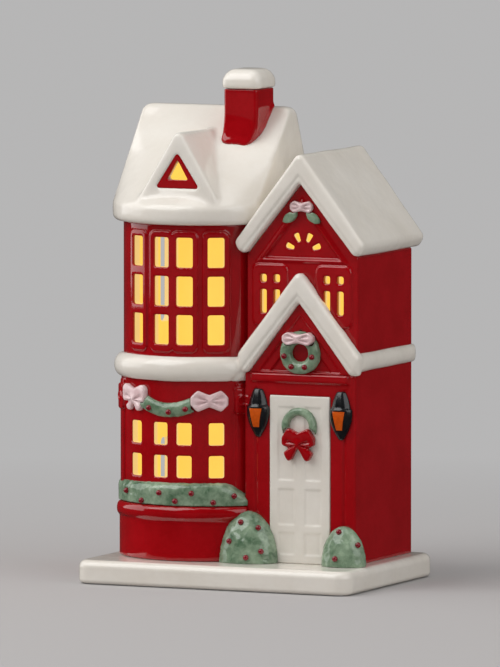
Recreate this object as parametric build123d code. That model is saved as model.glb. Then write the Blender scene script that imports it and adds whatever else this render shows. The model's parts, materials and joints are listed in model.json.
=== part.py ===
from build123d import *
import math
import os

# Christmas village house of glazed ceramic, lit from a battery unit in its base.
# Millimetres. X runs right along the front, Y to the back, Z up from the underside of the base.

# Base slab
SLAB_WIDTH = 140
SLAB_DEPTH = 102
SLAB_HEIGHT = 11
SLAB_CORNER = 7
SLAB_TOP_ROUND = 3.5
SLAB_FOOT_ROUND = 2

# Storeys over the slab, and the main roof over the upper one
LOWER_HEIGHT = 89
UPPER_HEIGHT = 68.5
ROOF_HEIGHT = 53.1
STOREY_TOP = SLAB_HEIGHT + LOWER_HEIGHT
BLOCK_TOP = STOREY_TOP + UPPER_HEIGHT
RIDGE_LEVEL = BLOCK_TOP + ROOF_HEIGHT

# House plan: a block with a bowed front on the left, a wing with a porch on the right
HOUSE_SIDE = 61.6
HOUSE_BACK = 42.8
BLOCK_RIGHT = 5.2
BOW_ENDS = -16.73
BOW_RISE = 18.07
BOW_STEP = 1.4
PORCH_FRONT = -23
PORCH_STEP = 2.6
PASSAGE_FRONT = -8
WALL = 4
WING_FRONT = PORCH_FRONT + PORCH_STEP
BOW_HALF = (BLOCK_RIGHT + HOUSE_SIDE) / 2
BOW_X = BLOCK_RIGHT - BOW_HALF
LOWER_BOW_RADIUS = (BOW_HALF**2 + BOW_RISE**2) / (2 * BOW_RISE)
UPPER_BOW_RADIUS = LOWER_BOW_RADIUS - BOW_STEP
BOW_Y = BOW_ENDS - BOW_RISE + LOWER_BOW_RADIUS
WING_X = (BLOCK_RIGHT + HOUSE_SIDE) / 2
WING_HALF = (HOUSE_SIDE - BLOCK_RIGHT) / 2


def lower_levels(shares):
    """Levels in the lower storey, by their shares of its height."""
    return [SLAB_HEIGHT + share * LOWER_HEIGHT for share in shares]


def upper_levels(shares):
    """Levels in the upper storey, by their shares of its height."""
    return [STOREY_TOP + share * UPPER_HEIGHT for share in shares]


def roof_levels(shares):
    """Levels in the main roof, by their shares of its height."""
    return [BLOCK_TOP + share * ROOF_HEIGHT for share in shares]


# Window panes of the bowed front, by angle from its middle in degrees
PANE_ANGLES = (-29.4, -7.2, 10.2, 32.4)
PANE_CORNER = 0.8
UPPER_PANE_WIDTH = 7.9
UPPER_PANE_HEIGHT_SHARE = 0.204
UPPER_PANE_SHARES = (0.283, 0.547, 0.812)
LOWER_PANE_WIDTH = 7.2
LOWER_PANE_HEIGHT_SHARE = 0.116
LOWER_PANE_SHARES = (0.496, 0.669)

# Raised frames round the upper panes, and pilasters with corner blocks at the ends of the bow
RELIEF = 0.9
FRAME_WIDTH = 12.6
FRAME_SHARES = (0.131, 0.956)
FRAME_CORNER = 3
PILASTER_ANGLE = 49.5
PILASTER_WIDTH = 5.5
CORNER_BLOCK_WIDTH = 7
CORNER_BLOCK_SHARES = (0.781, 0.91)

# Tall slots in the left side wall
SLOT_Y = 25
SLOT_WIDTH = 12
SLOT_CORNER = 3
SLOT_REACH = 12
UPPER_SLOT_SHARES = (0.263, 0.905)
LOWER_SLOT_SHARES = (0.157, 0.584)

# Gable of the wing, with its sunk panel, fan light and small windows
GABLE_RISE_SHARES = (1.305,)
GABLE_SLOPE_SHARE = 1.22
PANEL_BELOW_APEX = 10.6
PANEL_HEIGHT = 25.2
PANEL_HALF_SHARE = 0.695
FAN_BELOW_APEX = 32.4
FAN_OUTER = 9.2
FAN_INNER = 5
FAN_PANE_ANGLES = (19, 66, 114, 161)
FAN_PANE_SPREAD_ANGLE = 18
WING_WINDOW_OFFSET_SHARE = 0.5745
WING_WINDOW_WIDTH_SHARE = 0.624
WING_WINDOW_SHARES = (0.321, 0.739)
WING_PANE_WIDTH = 3.2
WING_PANE_OFFSET = 3.4
WING_PANE_ROW_SHARES = ((0.406, 0.569), (0.619, 0.672))
WING_PANE_CORNER = 0.7
GABLE_APEX = upper_levels(GABLE_RISE_SHARES)[0]
PANEL_APEX = GABLE_APEX - PANEL_BELOW_APEX
WING_WINDOW_OFFSET = WING_WINDOW_OFFSET_SHARE * WING_HALF
WING_WINDOW_WIDTH = WING_WINDOW_WIDTH_SHARE * WING_HALF

# Porch front: snow chevron, panel under it, moulding and door
CHEVRON_OVERHANG = 3.3
CHEVRON_FOOT_OVERHANG = 2
CHEVRON_SHARES = (0.124, 0.492, 0.715)
CHEVRON_PROUD = 3.6
CHEVRON_ROUND = 2.6
PANEL_STEP = 0.8
PANEL_STEP_SHARES = (0.8, 0.6)
MOULDING_HEIGHT = 4.2
MOULDING_SIDE_GAP = 3.5
MOULDING_PROUD = 1.2
DOOR_WIDTH = 30.7
DOOR_TOP_SHARES = (0.884,)
DOOR_THICK = 2.2
DOOR_PROUD = 0.5
DOOR_PANEL_WIDTH = 8.6
DOOR_PANEL_OFFSET = 6.8
DOOR_PANEL_ROW_SHARES = ((0.045, 0.163), (0.202, 0.393), (0.438, 0.826))
DOOR_PANEL_DEPTH = 0.4
CHEVRON_EAVE, CHEVRON_INNER_APEX, CHEVRON_APEX = upper_levels(CHEVRON_SHARES)
CHEVRON_HALF = WING_HALF + CHEVRON_OVERHANG
CHEVRON_FOOT_HALF = WING_HALF + CHEVRON_FOOT_OVERHANG
CHEVRON_INNER_HALF = WING_HALF - CHEVRON_FOOT_OVERHANG
DOOR_TOP = lower_levels(DOOR_TOP_SHARES)[0]

# Snow ledges between the storeys
LEDGE_DROP = 5.6
LEDGE_RISE = 7.5
LEDGE_PROUD = 3.6
LEDGE_TOP_ROUND = 6.4
LEDGE_CORNER = 8
LEDGE_FOOT_ROUND = 6
SIDE_LEDGE_LIFT = 0.9
SIDE_LEDGE_HEIGHT = 10.2
SIDE_LEDGE_PROUD = 3.2
SIDE_LEDGE_ROUND = 4.8
LEDGE_LOW = STOREY_TOP - LEDGE_DROP
SIDE_LEDGE_LOW = STOREY_TOP + SIDE_LEDGE_LIFT
SIDE_LEDGE_HIGH = SIDE_LEDGE_LOW + SIDE_LEDGE_HEIGHT

# Main roof: a straight ridge spread out to the bowed eave
ROOF_OVERHANG = 5
ROOF_LEFT_OVERHANG = 6.2
ROOF_RIGHT_OVERHANG = 3.8
ROOF_BACK_OVERHANG = 4
ROLL_HEIGHT = 8.5
RIDGE_FROM_BACK = 18.8
RIDGE_WIDTH = 6
RIDGE_ROUND = 4
EAVE_ROUND = 4
EAVE_FOOT_ROUND = 3
ROOF_HOLLOW_DROP = 9
ROOF_HOLLOW_RIDGE = 2
ROOF_LEFT = -HOUSE_SIDE - ROOF_LEFT_OVERHANG
ROOF_RIGHT = BLOCK_RIGHT + ROOF_RIGHT_OVERHANG
ROOF_BACK = HOUSE_BACK + ROOF_BACK_OVERHANG
RIDGE_Y = HOUSE_BACK - RIDGE_FROM_BACK

# Dormer on the main roof
DORMER_OFFSET = 2.2
DORMER_SET_BACK = 1.9
DORMER_DEPTH = 43.5
DORMER_HALF = 21.8
DORMER_SHARES = (0.188, 0.861)
DORMER_ROUND = 2.4
DORMER_WALL = 4.5
DORMER_FRAME_HALF = 11.4
DORMER_FRAME_SHARES = (0.32, 0.642)
DORMER_FRAME_THICK = 1.6
DORMER_FRAME_SUNK = 0.6
DORMER_PANE_HALF = 5.4
DORMER_PANE_SHARES = (0.3955, 0.5725)
DORMER_X = BOW_X + DORMER_OFFSET
DORMER_FRONT = BOW_Y - UPPER_BOW_RADIUS + DORMER_SET_BACK
DORMER_BACK = DORMER_FRONT + DORMER_DEPTH
DORMER_LOW, DORMER_APEX = roof_levels(DORMER_SHARES)

# Roof of the wing
WING_ROOF_RISE = 15.1
WING_ROOF_SLOPE_SHARE = 1.3
WING_ROOF_SIDE_OVERHANG = 5.4
WING_ROOF_FOOT = 4.4
WING_ROOF_FRONT_OVERHANG = 4.8
WING_ROOF_BACK_OVERHANG = 3.8
WING_ROOF_ROUND = 2.8
WING_ROOF_EDGE_ROUND = 1.8

# Chimney through the front slope of the main roof, and its snow cap
CHIMNEY_FROM_RIGHT = 5.4
CHIMNEY_WIDTH = 17.2
CHIMNEY_FROM_RIDGE = 1.6
CHIMNEY_DEPTH = 20.4
CHIMNEY_RISE = 8.9
CHIMNEY_ROUND = 1.6
CAP_HEIGHT = 9.5
CAP_OVERHANG = 1.4
CAP_ROUND = 4.2
CAP_FOOT_ROUND = 1.4
CHIMNEY_RIGHT = BLOCK_RIGHT - CHIMNEY_FROM_RIGHT
CHIMNEY_LEFT = CHIMNEY_RIGHT - CHIMNEY_WIDTH
CHIMNEY_BACK = RIDGE_Y - CHIMNEY_FROM_RIDGE
CHIMNEY_FRONT = CHIMNEY_BACK - CHIMNEY_DEPTH
CHIMNEY_TOP = RIDGE_LEVEL + CHIMNEY_RISE
CAP_TOP = CHIMNEY_TOP + CAP_HEIGHT

# Planter round the foot of the bow
PLANTER_OFFSET = 2.2
TROUGH_PROUD = 3.1
RIM_PROUD = 4.9
GREENERY_PROUD = 3.7
PLANTER_END = 1.8
RIM_SHARES = (0.2135, 0.2944)
RIM_ROUND_SHARE = 0.41
GREENERY_TOP_SHARES = (0.4135,)
GREENERY_ROUND_SHARE = 0.38
GREENERY_END_ROUND_SHARE = 0.75
PLANTER_X = BOW_X + PLANTER_OFFSET
PLANTER_RIGHT = BLOCK_RIGHT + PLANTER_END
TROUGH_RADIUS = LOWER_BOW_RADIUS + TROUGH_PROUD
RIM_RADIUS = LOWER_BOW_RADIUS + RIM_PROUD
GREENERY_RADIUS = LOWER_BOW_RADIUS + GREENERY_PROUD
RIM_LOW, RIM_HIGH = lower_levels(RIM_SHARES)
GREENERY_TOP = lower_levels(GREENERY_TOP_SHARES)[0]

# Bushes beside the door: offset from the wing's middle, half width, depth and height
BUSH_OUT = 1.4
LEFT_BUSH = (-26, 15.2, 11.5, 24)
RIGHT_BUSH = (23, 11, 8, 18.8)

# Garland and ribbons on the bow
GARLAND_ANGLE = 20.5
GARLAND_MIDDLE_ANGLE = -1
GARLAND_SHARES = (0.795, 0.8404)
GARLAND_HALF_HEIGHT = 3.5
GARLAND_PROUD = 2.4
GARLAND_POINTS = 9
LEFT_RIBBON_ANGLE = -29.5
LEFT_RIBBON_WIDTH = 17
LEFT_RIBBON_HEIGHT = 8.6
LEFT_TAIL_LENGTH = 9
RIGHT_RIBBON_ANGLE = 27.5
RIGHT_RIBBON_WIDTH = 17.8
RIGHT_RIBBON_HEIGHT = 10
RIBBON_SHARES = (0.872, 0.846)
RIBBON_PROUD = 2.2
RIBBON_ROUND = 0.9
KNOT_SHARE = 0.26
LOOP_CORNER_SHARE = 0.3
GARLAND_LOW, GARLAND_HIGH = lower_levels(GARLAND_SHARES)
LEFT_RIBBON_LEVEL, RIGHT_RIBBON_LEVEL = lower_levels(RIBBON_SHARES)

# Wreaths and ribbons of the porch, the door and the gable
PORCH_WREATH_RADIUS = 7.2
PORCH_WREATH_THICK = 3.1
PORCH_RIBBON_WIDTH = 15.6
PORCH_RIBBON_HEIGHT = 6.6
PORCH_RIBBON_PROUD = 5
PORCH_RIBBON_RISE = 6.8
PORCH_WREATH_SHARES = (0.143,)
DOOR_WREATH_RADIUS = 7
DOOR_WREATH_THICK = 2
DOOR_RIBBON_WIDTH = 16.4
DOOR_RIBBON_HEIGHT = 9.4
DOOR_RIBBON_PROUD = 3
DOOR_RIBBON_DROP = 5.4
DOOR_WREATH_SHARES = (0.7236,)
DOOR_TAIL_LENGTH = 12
TAIL_WIDTH = 4.2
TAIL_ANGLE = 30
GABLE_RIBBON_WIDTH = 11.8
GABLE_RIBBON_HEIGHT = 6
GABLE_RIBBON_PROUD = 2
GABLE_RIBBON_BELOW_APEX = 11.4
LEAF_BELOW_APEX = 16.4
LEAF_LENGTH = 8.6
LEAF_WIDTH = 4.4
LEAF_OFFSET = 6
LEAF_ANGLE = 32
LEAF_PROUD = 1.6
SEAT = 2
PORCH_WREATH_LEVEL = upper_levels(PORCH_WREATH_SHARES)[0]
PORCH_RIBBON_LEVEL = PORCH_WREATH_LEVEL + PORCH_RIBBON_RISE
DOOR_WREATH_LEVEL = lower_levels(DOOR_WREATH_SHARES)[0]
DOOR_RIBBON_LEVEL = DOOR_WREATH_LEVEL - DOOR_RIBBON_DROP

# Wall lanterns
LANTERN_OFFSET_SHARE = 0.752
LANTERN_SHARES = (0.6607, 0.818, 0.9157)
LANTERN_RADIUS = 5.7
LANTERN_TIP_RADIUS = 1.2
LANTERN_TOP_RADIUS = 2.6
LANTERN_TOP_ROUND = 1.4
LANTERN_DEPTH_SHARE = 0.75
LANTERN_GLASS_SHARES = (0.7146, 0.8135)
LANTERN_GLASS_LOW_HALF = 1.5
LANTERN_GLASS_HIGH_HALF = 3.1
LANTERN_GLASS_THICK = 1
LANTERN_LOW, LANTERN_SHOULDER, LANTERN_HIGH = lower_levels(LANTERN_SHARES)
LANTERN_GLASS_LOW, LANTERN_GLASS_HIGH = lower_levels(LANTERN_GLASS_SHARES)

# Berries by angle in degrees and share of the carrier's height, and along the garland and wreath
BERRY_RADIUS = 1.35
BERRY_PROUD = 0.25
PLANTER_BERRY_ANGLES = (-38, -22, -8, 3, 13.5, 27, 40)
PLANTER_BERRY_SHARES = (0.5, 0.15, 0.55, 0.21, 0.57, 0.17, 0.45)
LEFT_BUSH_BERRY_ANGLES = (-3, 46, -22, 44, 15)
LEFT_BUSH_BERRY_SHARES = (0.8, 0.7, 0.43, 0.25, 0.13)
RIGHT_BUSH_BERRY_ANGLES = (-7, 66, -5)
RIGHT_BUSH_BERRY_SHARES = (0.87, 0.56, 0.22)
GARLAND_BERRY_SHARES = (-0.63, 0.08, 0.63)
GARLAND_BERRY_DROP = 0.8
WREATH_BERRY_ANGLES = (12, 62, 118, 168)

# Light unit in the underside of the base, and its battery bay for two standard cells
LIGHT_X = -4
LIGHT_Y = 7
CELL_DIAMETER = 10.5
CELL_LENGTH = 43.7
CELL_NUB_DIAMETER = 3.8
CELL_NUB_LENGTH = 0.8
CELL_GAP = 0.6
CONTACT_THICK = 0.5
CONTACT_WIDTH = 8
CASE_WALL = 1.6
CASE_TOP_WALL = 1.6
FLANGE_MARGIN = 4
FLANGE_THICK = 2.4
FLANGE_SUNK = 1.8
FLANGE_CORNER = 3
SEAT_GAP = 0.3
DOOR_GAP = 0.4
HINGE_DIAMETER = 2.4
HINGE_GAP = 0.06
LID_THICK = 1.6
LID_LAND = 7
SCREW_HEAD_DIAMETER = 4
SCREW_HEAD_HEIGHT = 1.2
SCREW_DIAMETER = 2
SCREW_LENGTH = 5
SCREW_GAP = 0.35
SCREW_SLOT_WIDTH = 0.6
SCREW_SLOT_DEPTH = 0.6
SWITCH_BAY = 8
SWITCH_LENGTH = 5
SWITCH_WIDTH = 3
SWITCH_PROUD = 1.2
SWITCH_TRAVEL = 3
SWITCH_FOOT_MARGIN = 1.4
SWITCH_FOOT_THICK = 1.2
SWITCH_GAP = 0.3
BOARD_LENGTH = 40
BOARD_WIDTH = 14
BOARD_THICK = 1.2
LED_DIAMETER = 5
LED_HEIGHT = 8
LED_SPACING = 13
LED_COUNT = 3


def span(x_low, x_high, y_low, y_high):
    """Flat rectangle between four limits."""
    middle = Pos((x_low + x_high) / 2, (y_low + y_high) / 2)
    return middle * Rectangle(x_high - x_low, y_high - y_low)


def block(x_low, x_high, y_low, y_high, z_low, z_high):
    """Box between six limits."""
    return Pos(0, 0, z_low) * extrude(span(x_low, x_high, y_low, y_high), z_high - z_low)


def upright(face, y_front, y_back):
    """Carries a flat outline, drawn in X and Z, from one depth back to another."""
    return Pos(0, y_back, 0) * extrude(Plane.XZ * face, y_back - y_front, dir=(0, -1, 0))


def triangle(x, half, low, apex):
    """Flat triangle with a level foot."""
    return Polygon((x - half, low), (x + half, low), (x, apex), align=None)


def bowed(left, right, back, radius):
    """Flat outline with straight back and sides and a front that bows out about the bow's axis."""
    left_front = BOW_Y - math.sqrt(radius**2 - (left - BOW_X) ** 2)
    right_front = BOW_Y - math.sqrt(radius**2 - (right - BOW_X) ** 2)
    sides = Polyline((left, left_front), (left, back), (right, back), (right, right_front))
    front = ThreePointArc((right, right_front), (BOW_X, BOW_Y - radius), (left, left_front))
    return make_face(sides + front)


def block_plan(radius, inset=0):
    """Plan of the block alone."""
    return bowed(-HOUSE_SIDE + inset, BLOCK_RIGHT - inset, HOUSE_BACK - inset, radius - inset)


def storey_plan(radius, front, inset=0):
    """Plan of one storey; an inset gives the room inside its walls."""
    right = HOUSE_SIDE - inset
    back = HOUSE_BACK - inset
    wing = span(BLOCK_RIGHT + inset, right, front + inset, back)
    passage = span(0, right, PASSAGE_FRONT, back)
    return block_plan(radius, inset) + passage + wing


def on_bow(radius, turn, level):
    """Place on the bow's face, with X along the face and Y into the wall."""
    return Pos(BOW_X, BOW_Y, level) * Rot(0, 0, turn) * Pos(0, -radius, 0)


def bow_panes(radius, width, height, levels):
    """Openings of a bowed window, row over row."""
    pane = upright(RectangleRounded(width, height, PANE_CORNER), -WALL, WALL + RELIEF)
    return [on_bow(radius, turn, level) * pane for turn in PANE_ANGLES for level in levels]


def bow_relief(radius, turn, width, low, high, corner):
    """Raised plate that follows the bow's face."""
    shell = extrude(Pos(BOW_X, BOW_Y, low) * Circle(radius + RELIEF), high - low)
    plate = upright(RectangleRounded(width, high - low, corner), -WALL, WALL)
    middle = (low + high) / 2
    return shell & (on_bow(radius, turn, middle) * plate)


def gable_level(x):
    """Height of the wing's gable line."""
    return GABLE_APEX - GABLE_SLOPE_SHARE * abs(x - WING_X)


def gable_outline(low, inset=0):
    """Outline of the wing under its roof; an inset gives the room inside."""
    left = BLOCK_RIGHT + inset
    right = HOUSE_SIDE - inset
    drop = inset * math.hypot(1, GABLE_SLOPE_SHARE)
    return Polygon(
        (left, low),
        (right, low),
        (right, gable_level(right) - drop),
        (WING_X, GABLE_APEX - drop),
        (left, gable_level(left) - drop),
        align=None,
    )


def side_slot(levels):
    """Tall rounded opening in the left side wall."""
    low, high = levels
    slot = Plane.YZ * RectangleRounded(SLOT_WIDTH, high - low, SLOT_CORNER)
    return Pos(-HOUSE_SIDE - WALL, SLOT_Y, (low + high) / 2) * extrude(slot, SLOT_REACH)


def front_edges(solid):
    """Edges of the face that looks furthest to the front."""
    return solid.faces().sort_by(Axis.Y)[0].edges()


def make_slab():
    plate = extrude(RectangleRounded(SLAB_WIDTH, SLAB_DEPTH, SLAB_CORNER), SLAB_HEIGHT)
    levels = plate.edges().group_by(Axis.Z)
    plate = fillet(levels[-1], SLAB_TOP_ROUND)
    plate = fillet(plate.edges().group_by(Axis.Z)[0], SLAB_FOOT_ROUND)
    opening = extrude(case_plan(SEAT_GAP), SLAB_HEIGHT)
    seat = fillet(case_plan(FLANGE_MARGIN + SEAT_GAP).vertices(), FLANGE_CORNER + SEAT_GAP)
    return plate - at_light(opening) - at_light(extrude(seat, FLANGE_SUNK + FLANGE_THICK))


def make_lower_walls():
    rise = STOREY_TOP - SLAB_HEIGHT
    walls = extrude(storey_plan(LOWER_BOW_RADIUS, PORCH_FRONT), rise)
    walls -= extrude(storey_plan(LOWER_BOW_RADIUS, PORCH_FRONT, WALL), rise)
    walls = Pos(0, 0, SLAB_HEIGHT) * walls
    for side in (-1, 1):
        turn = side * PILASTER_ANGLE
        strip_top = STOREY_TOP - PILASTER_WIDTH
        walls += bow_relief(
            LOWER_BOW_RADIUS, turn, PILASTER_WIDTH, RIM_HIGH, strip_top, RELIEF
        )
        low, high = lower_levels(CORNER_BLOCK_SHARES)
        walls += bow_relief(LOWER_BOW_RADIUS + RELIEF, turn, CORNER_BLOCK_WIDTH, low, high, RELIEF)
    pane_height = LOWER_PANE_HEIGHT_SHARE * LOWER_HEIGHT
    pane_levels = lower_levels(LOWER_PANE_SHARES)
    walls -= bow_panes(LOWER_BOW_RADIUS, LOWER_PANE_WIDTH, pane_height, pane_levels)
    walls -= side_slot(lower_levels(LOWER_SLOT_SHARES))
    moulding = block(
        BLOCK_RIGHT + MOULDING_SIDE_GAP, HOUSE_SIDE - MOULDING_SIDE_GAP,
        PORCH_FRONT - MOULDING_PROUD, PORCH_FRONT, STOREY_TOP - MOULDING_HEIGHT, STOREY_TOP,
    )
    walls += chamfer(front_edges(moulding), MOULDING_PROUD / 2)
    return walls - door_pocket()


def make_upper_walls():
    rise = BLOCK_TOP - STOREY_TOP
    solid = extrude(block_plan(UPPER_BOW_RADIUS), rise)
    room = extrude(block_plan(UPPER_BOW_RADIUS, WALL), rise)
    walls = Pos(0, 0, STOREY_TOP) * solid
    walls += upright(gable_outline(STOREY_TOP), WING_FRONT, HOUSE_BACK)
    low, high = upper_levels(WING_WINDOW_SHARES)
    for x in (WING_X - WING_WINDOW_OFFSET, WING_X + WING_WINDOW_OFFSET):
        half = WING_WINDOW_WIDTH / 2
        frame = block(x - half, x + half, WING_FRONT - RELIEF, WING_FRONT, low, high)
        walls += fillet(frame.edges().filter_by(Axis.Y), FRAME_CORNER)
    low, high = upper_levels(FRAME_SHARES)
    for turn in PANE_ANGLES:
        walls += bow_relief(UPPER_BOW_RADIUS, turn, FRAME_WIDTH, low, high, FRAME_CORNER)
    walls -= Pos(0, 0, STOREY_TOP) * room
    walls -= upright(gable_outline(STOREY_TOP, WALL), WING_FRONT + WALL, HOUSE_BACK - WALL)
    walls -= block(
        BLOCK_RIGHT - 2 * WALL, BLOCK_RIGHT + 2 * WALL, PASSAGE_FRONT, HOUSE_BACK - WALL,
        STOREY_TOP, gable_level(BLOCK_RIGHT) - 2 * WALL,
    )
    pane_height = UPPER_PANE_HEIGHT_SHARE * UPPER_HEIGHT
    pane_levels = upper_levels(UPPER_PANE_SHARES)
    walls -= bow_panes(UPPER_BOW_RADIUS, UPPER_PANE_WIDTH, pane_height, pane_levels)
    walls -= side_slot(upper_levels(UPPER_SLOT_SHARES))
    panel = triangle(WING_X, PANEL_HALF_SHARE * WING_HALF, PANEL_APEX - PANEL_HEIGHT, PANEL_APEX)
    walls -= upright(panel, WING_FRONT, WING_FRONT + RELIEF)
    return walls - wing_panes() - fan_panes()


def wing_panes():
    """Openings of the two small windows in the wing."""
    panes = []
    for x in (WING_X - WING_WINDOW_OFFSET, WING_X + WING_WINDOW_OFFSET):
        for side in (-1, 1):
            for low, high in map(upper_levels, WING_PANE_ROW_SHARES):
                face = RectangleRounded(WING_PANE_WIDTH, high - low, WING_PANE_CORNER)
                place = Pos(x + side * WING_PANE_OFFSET, 0, (low + high) / 2)
                panes.append(place * upright(face, WING_FRONT - WALL, WING_FRONT + 2 * WALL))
    return panes


def fan_panes():
    """Openings of the fan light in the wing's gable."""
    ring = Circle(FAN_OUTER) - Circle(FAN_INNER)
    panes = []
    for angle in FAN_PANE_ANGLES:
        start = math.radians(angle - FAN_PANE_SPREAD_ANGLE / 2)
        end = math.radians(angle + FAN_PANE_SPREAD_ANGLE / 2)
        reach = 2 * FAN_OUTER
        wedge = Polygon(
            (0, 0),
            (reach * math.cos(start), reach * math.sin(start)),
            (reach * math.cos(end), reach * math.sin(end)),
            align=None,
        )
        pane = upright(ring & wedge, WING_FRONT - WALL, WING_FRONT + 2 * WALL)
        panes.append(Pos(WING_X, 0, GABLE_APEX - FAN_BELOW_APEX) * pane)
    return panes


def chevron_inside():
    return triangle(WING_X, CHEVRON_INNER_HALF, STOREY_TOP, CHEVRON_INNER_APEX)


def make_porch_panel():
    """Stepped triangle under the porch's snow."""
    panel = upright(chevron_inside(), PORCH_FRONT, WING_FRONT)
    for number, share in enumerate(PANEL_STEP_SHARES):
        low = STOREY_TOP + PANEL_STEP
        apex = low + share * (CHEVRON_INNER_APEX - STOREY_TOP)
        step = triangle(WING_X, share * CHEVRON_INNER_HALF, low, apex)
        panel -= upright(step, PORCH_FRONT, PORCH_FRONT + (number + 1) * PANEL_STEP)
    return panel


def make_porch_snow():
    outline = Polygon(
        (WING_X - CHEVRON_FOOT_HALF, STOREY_TOP),
        (WING_X - CHEVRON_HALF, CHEVRON_EAVE),
        (WING_X, CHEVRON_APEX),
        (WING_X + CHEVRON_HALF, CHEVRON_EAVE),
        (WING_X + CHEVRON_FOOT_HALF, STOREY_TOP),
        align=None,
    )
    outline -= chevron_inside()
    outline = fillet(outline.vertices().group_by(Axis.Y)[1], CHEVRON_ROUND)
    outline = fillet(outline.vertices().group_by(Axis.Y)[-1], CHEVRON_ROUND)
    snow = upright(outline, PORCH_FRONT - CHEVRON_PROUD, WING_FRONT)
    return fillet(front_edges(snow), CHEVRON_ROUND)


def door_pocket():
    half = DOOR_WIDTH / 2
    depth = DOOR_THICK - DOOR_PROUD
    return block(
        WING_X - half, WING_X + half, PORCH_FRONT, PORCH_FRONT + depth, SLAB_HEIGHT, DOOR_TOP
    )


def make_door():
    half = DOOR_WIDTH / 2
    face = PORCH_FRONT - DOOR_PROUD
    door = block(WING_X - half, WING_X + half, face, face + DOOR_THICK, SLAB_HEIGHT, DOOR_TOP)
    for side in (-1, 1):
        x = WING_X + side * DOOR_PANEL_OFFSET
        for low, high in map(lower_levels, DOOR_PANEL_ROW_SHARES):
            sunk = block(
                x - DOOR_PANEL_WIDTH / 2, x + DOOR_PANEL_WIDTH / 2,
                face, face + DOOR_PANEL_DEPTH, low, high,
            )
            door -= sunk
    return door


def outer_edges(roll, level):
    """Edges of a ledge at one height, apart from those at its two ends."""
    edges = roll.edges().filter_by_position(Axis.Z, level, level)
    return [e for e in edges if e.center().Y < HOUSE_BACK - WALL and e.center().X < BLOCK_RIGHT - WALL]


def make_bow_ledge(walls, neighbour):
    """Snow roll round the bow and along the left side."""
    rise = LEDGE_DROP + LEDGE_RISE
    plan = bowed(
        -HOUSE_SIDE - LEDGE_PROUD, BLOCK_RIGHT, HOUSE_BACK, LOWER_BOW_RADIUS + LEDGE_PROUD
    )
    roll = extrude(plan, rise)
    corner = roll.edges().filter_by(Axis.Z).group_by(Axis.X)[0].sort_by(Axis.Y)[0]
    roll = fillet(corner, LEDGE_CORNER)
    roll = fillet(outer_edges(roll, rise), LEDGE_TOP_ROUND)
    roll = fillet(outer_edges(roll, 0), LEDGE_FOOT_ROUND)
    roll = Pos(0, 0, LEDGE_LOW) * roll
    inside = Pos(0, 0, LEDGE_LOW) * extrude(block_plan(UPPER_BOW_RADIUS), rise)
    return roll - inside - walls - neighbour


def make_side_ledge(neighbour):
    """Snow roll along the right side."""
    roll = block(
        HOUSE_SIDE - WALL, HOUSE_SIDE + SIDE_LEDGE_PROUD,
        PORCH_FRONT, HOUSE_BACK + SIDE_LEDGE_PROUD / 2, SIDE_LEDGE_LOW, SIDE_LEDGE_HIGH,
    )
    face = roll.faces().sort_by(Axis.X)[-1]
    roll = fillet(face.edges(), SIDE_LEDGE_ROUND)
    keep = block(
        HOUSE_SIDE, HOUSE_SIDE + SIDE_LEDGE_PROUD, PORCH_FRONT,
        HOUSE_BACK + SIDE_LEDGE_PROUD, SIDE_LEDGE_LOW, SIDE_LEDGE_HIGH,
    )
    return (roll & keep) - neighbour


def make_roof_form():
    """Main roof before it is hollowed: an eave roll under a ruled sweep from bow to ridge."""
    eave = bowed(ROOF_LEFT, ROOF_RIGHT, ROOF_BACK, UPPER_BOW_RADIUS + ROOF_OVERHANG)
    half = RIDGE_WIDTH / 2
    corners = Polyline(
        (ROOF_LEFT, RIDGE_Y - half), (ROOF_LEFT, RIDGE_Y + half),
        (ROOF_RIGHT, RIDGE_Y + half), (ROOF_RIGHT, RIDGE_Y - half),
    )
    ridge = make_face(corners + Line((ROOF_RIGHT, RIDGE_Y - half), (ROOF_LEFT, RIDGE_Y - half)))
    roll_top = BLOCK_TOP + ROLL_HEIGHT
    slopes = loft([Pos(0, 0, roll_top) * eave, Pos(0, 0, RIDGE_LEVEL) * ridge], ruled=True)
    roll = Pos(0, 0, BLOCK_TOP) * extrude(eave, ROLL_HEIGHT)
    form = roll + slopes
    form = fillet(form.edges().filter_by_position(Axis.Z, roll_top, roll_top), EAVE_ROUND)
    form = fillet(form.edges().group_by(Axis.Z)[0], EAVE_FOOT_ROUND)
    return fillet(form.edges().group_by(Axis.Z)[-1], RIDGE_ROUND)


def make_roof_hollow():
    room = block_plan(UPPER_BOW_RADIUS, WALL)
    half = ROOF_HOLLOW_RIDGE / 2
    left = -HOUSE_SIDE + WALL
    right = BLOCK_RIGHT - WALL
    corners = Polyline(
        (left, RIDGE_Y - half), (left, RIDGE_Y + half), (right, RIDGE_Y + half), (right, RIDGE_Y - half)
    )
    ridge = make_face(corners + Line((right, RIDGE_Y - half), (left, RIDGE_Y - half)))
    top = RIDGE_LEVEL - ROOF_HOLLOW_DROP
    return loft([Pos(0, 0, BLOCK_TOP) * room, Pos(0, 0, top) * ridge], ruled=True)


def make_dormer_form():
    face = triangle(DORMER_X, DORMER_HALF, DORMER_LOW, DORMER_APEX)
    face = fillet(face.vertices(), DORMER_ROUND)
    form = upright(face, DORMER_FRONT, DORMER_BACK)
    return fillet(front_edges(form), DORMER_ROUND / 2)


def make_dormer_room():
    """Hollow behind the dormer's pane, open to the hollow of the main roof."""
    drop = DORMER_WALL * 2
    half = DORMER_HALF * (1 - drop / (DORMER_APEX - DORMER_LOW))
    face = triangle(DORMER_X, half, DORMER_LOW, DORMER_APEX - drop)
    return upright(face, DORMER_FRONT + DORMER_WALL, DORMER_BACK - 2 * DORMER_WALL)


def dormer_pane():
    face = triangle(DORMER_X, DORMER_PANE_HALF, *roof_levels(DORMER_PANE_SHARES))
    return upright(face, DORMER_FRONT - WALL, DORMER_FRONT + 2 * DORMER_WALL)


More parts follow.
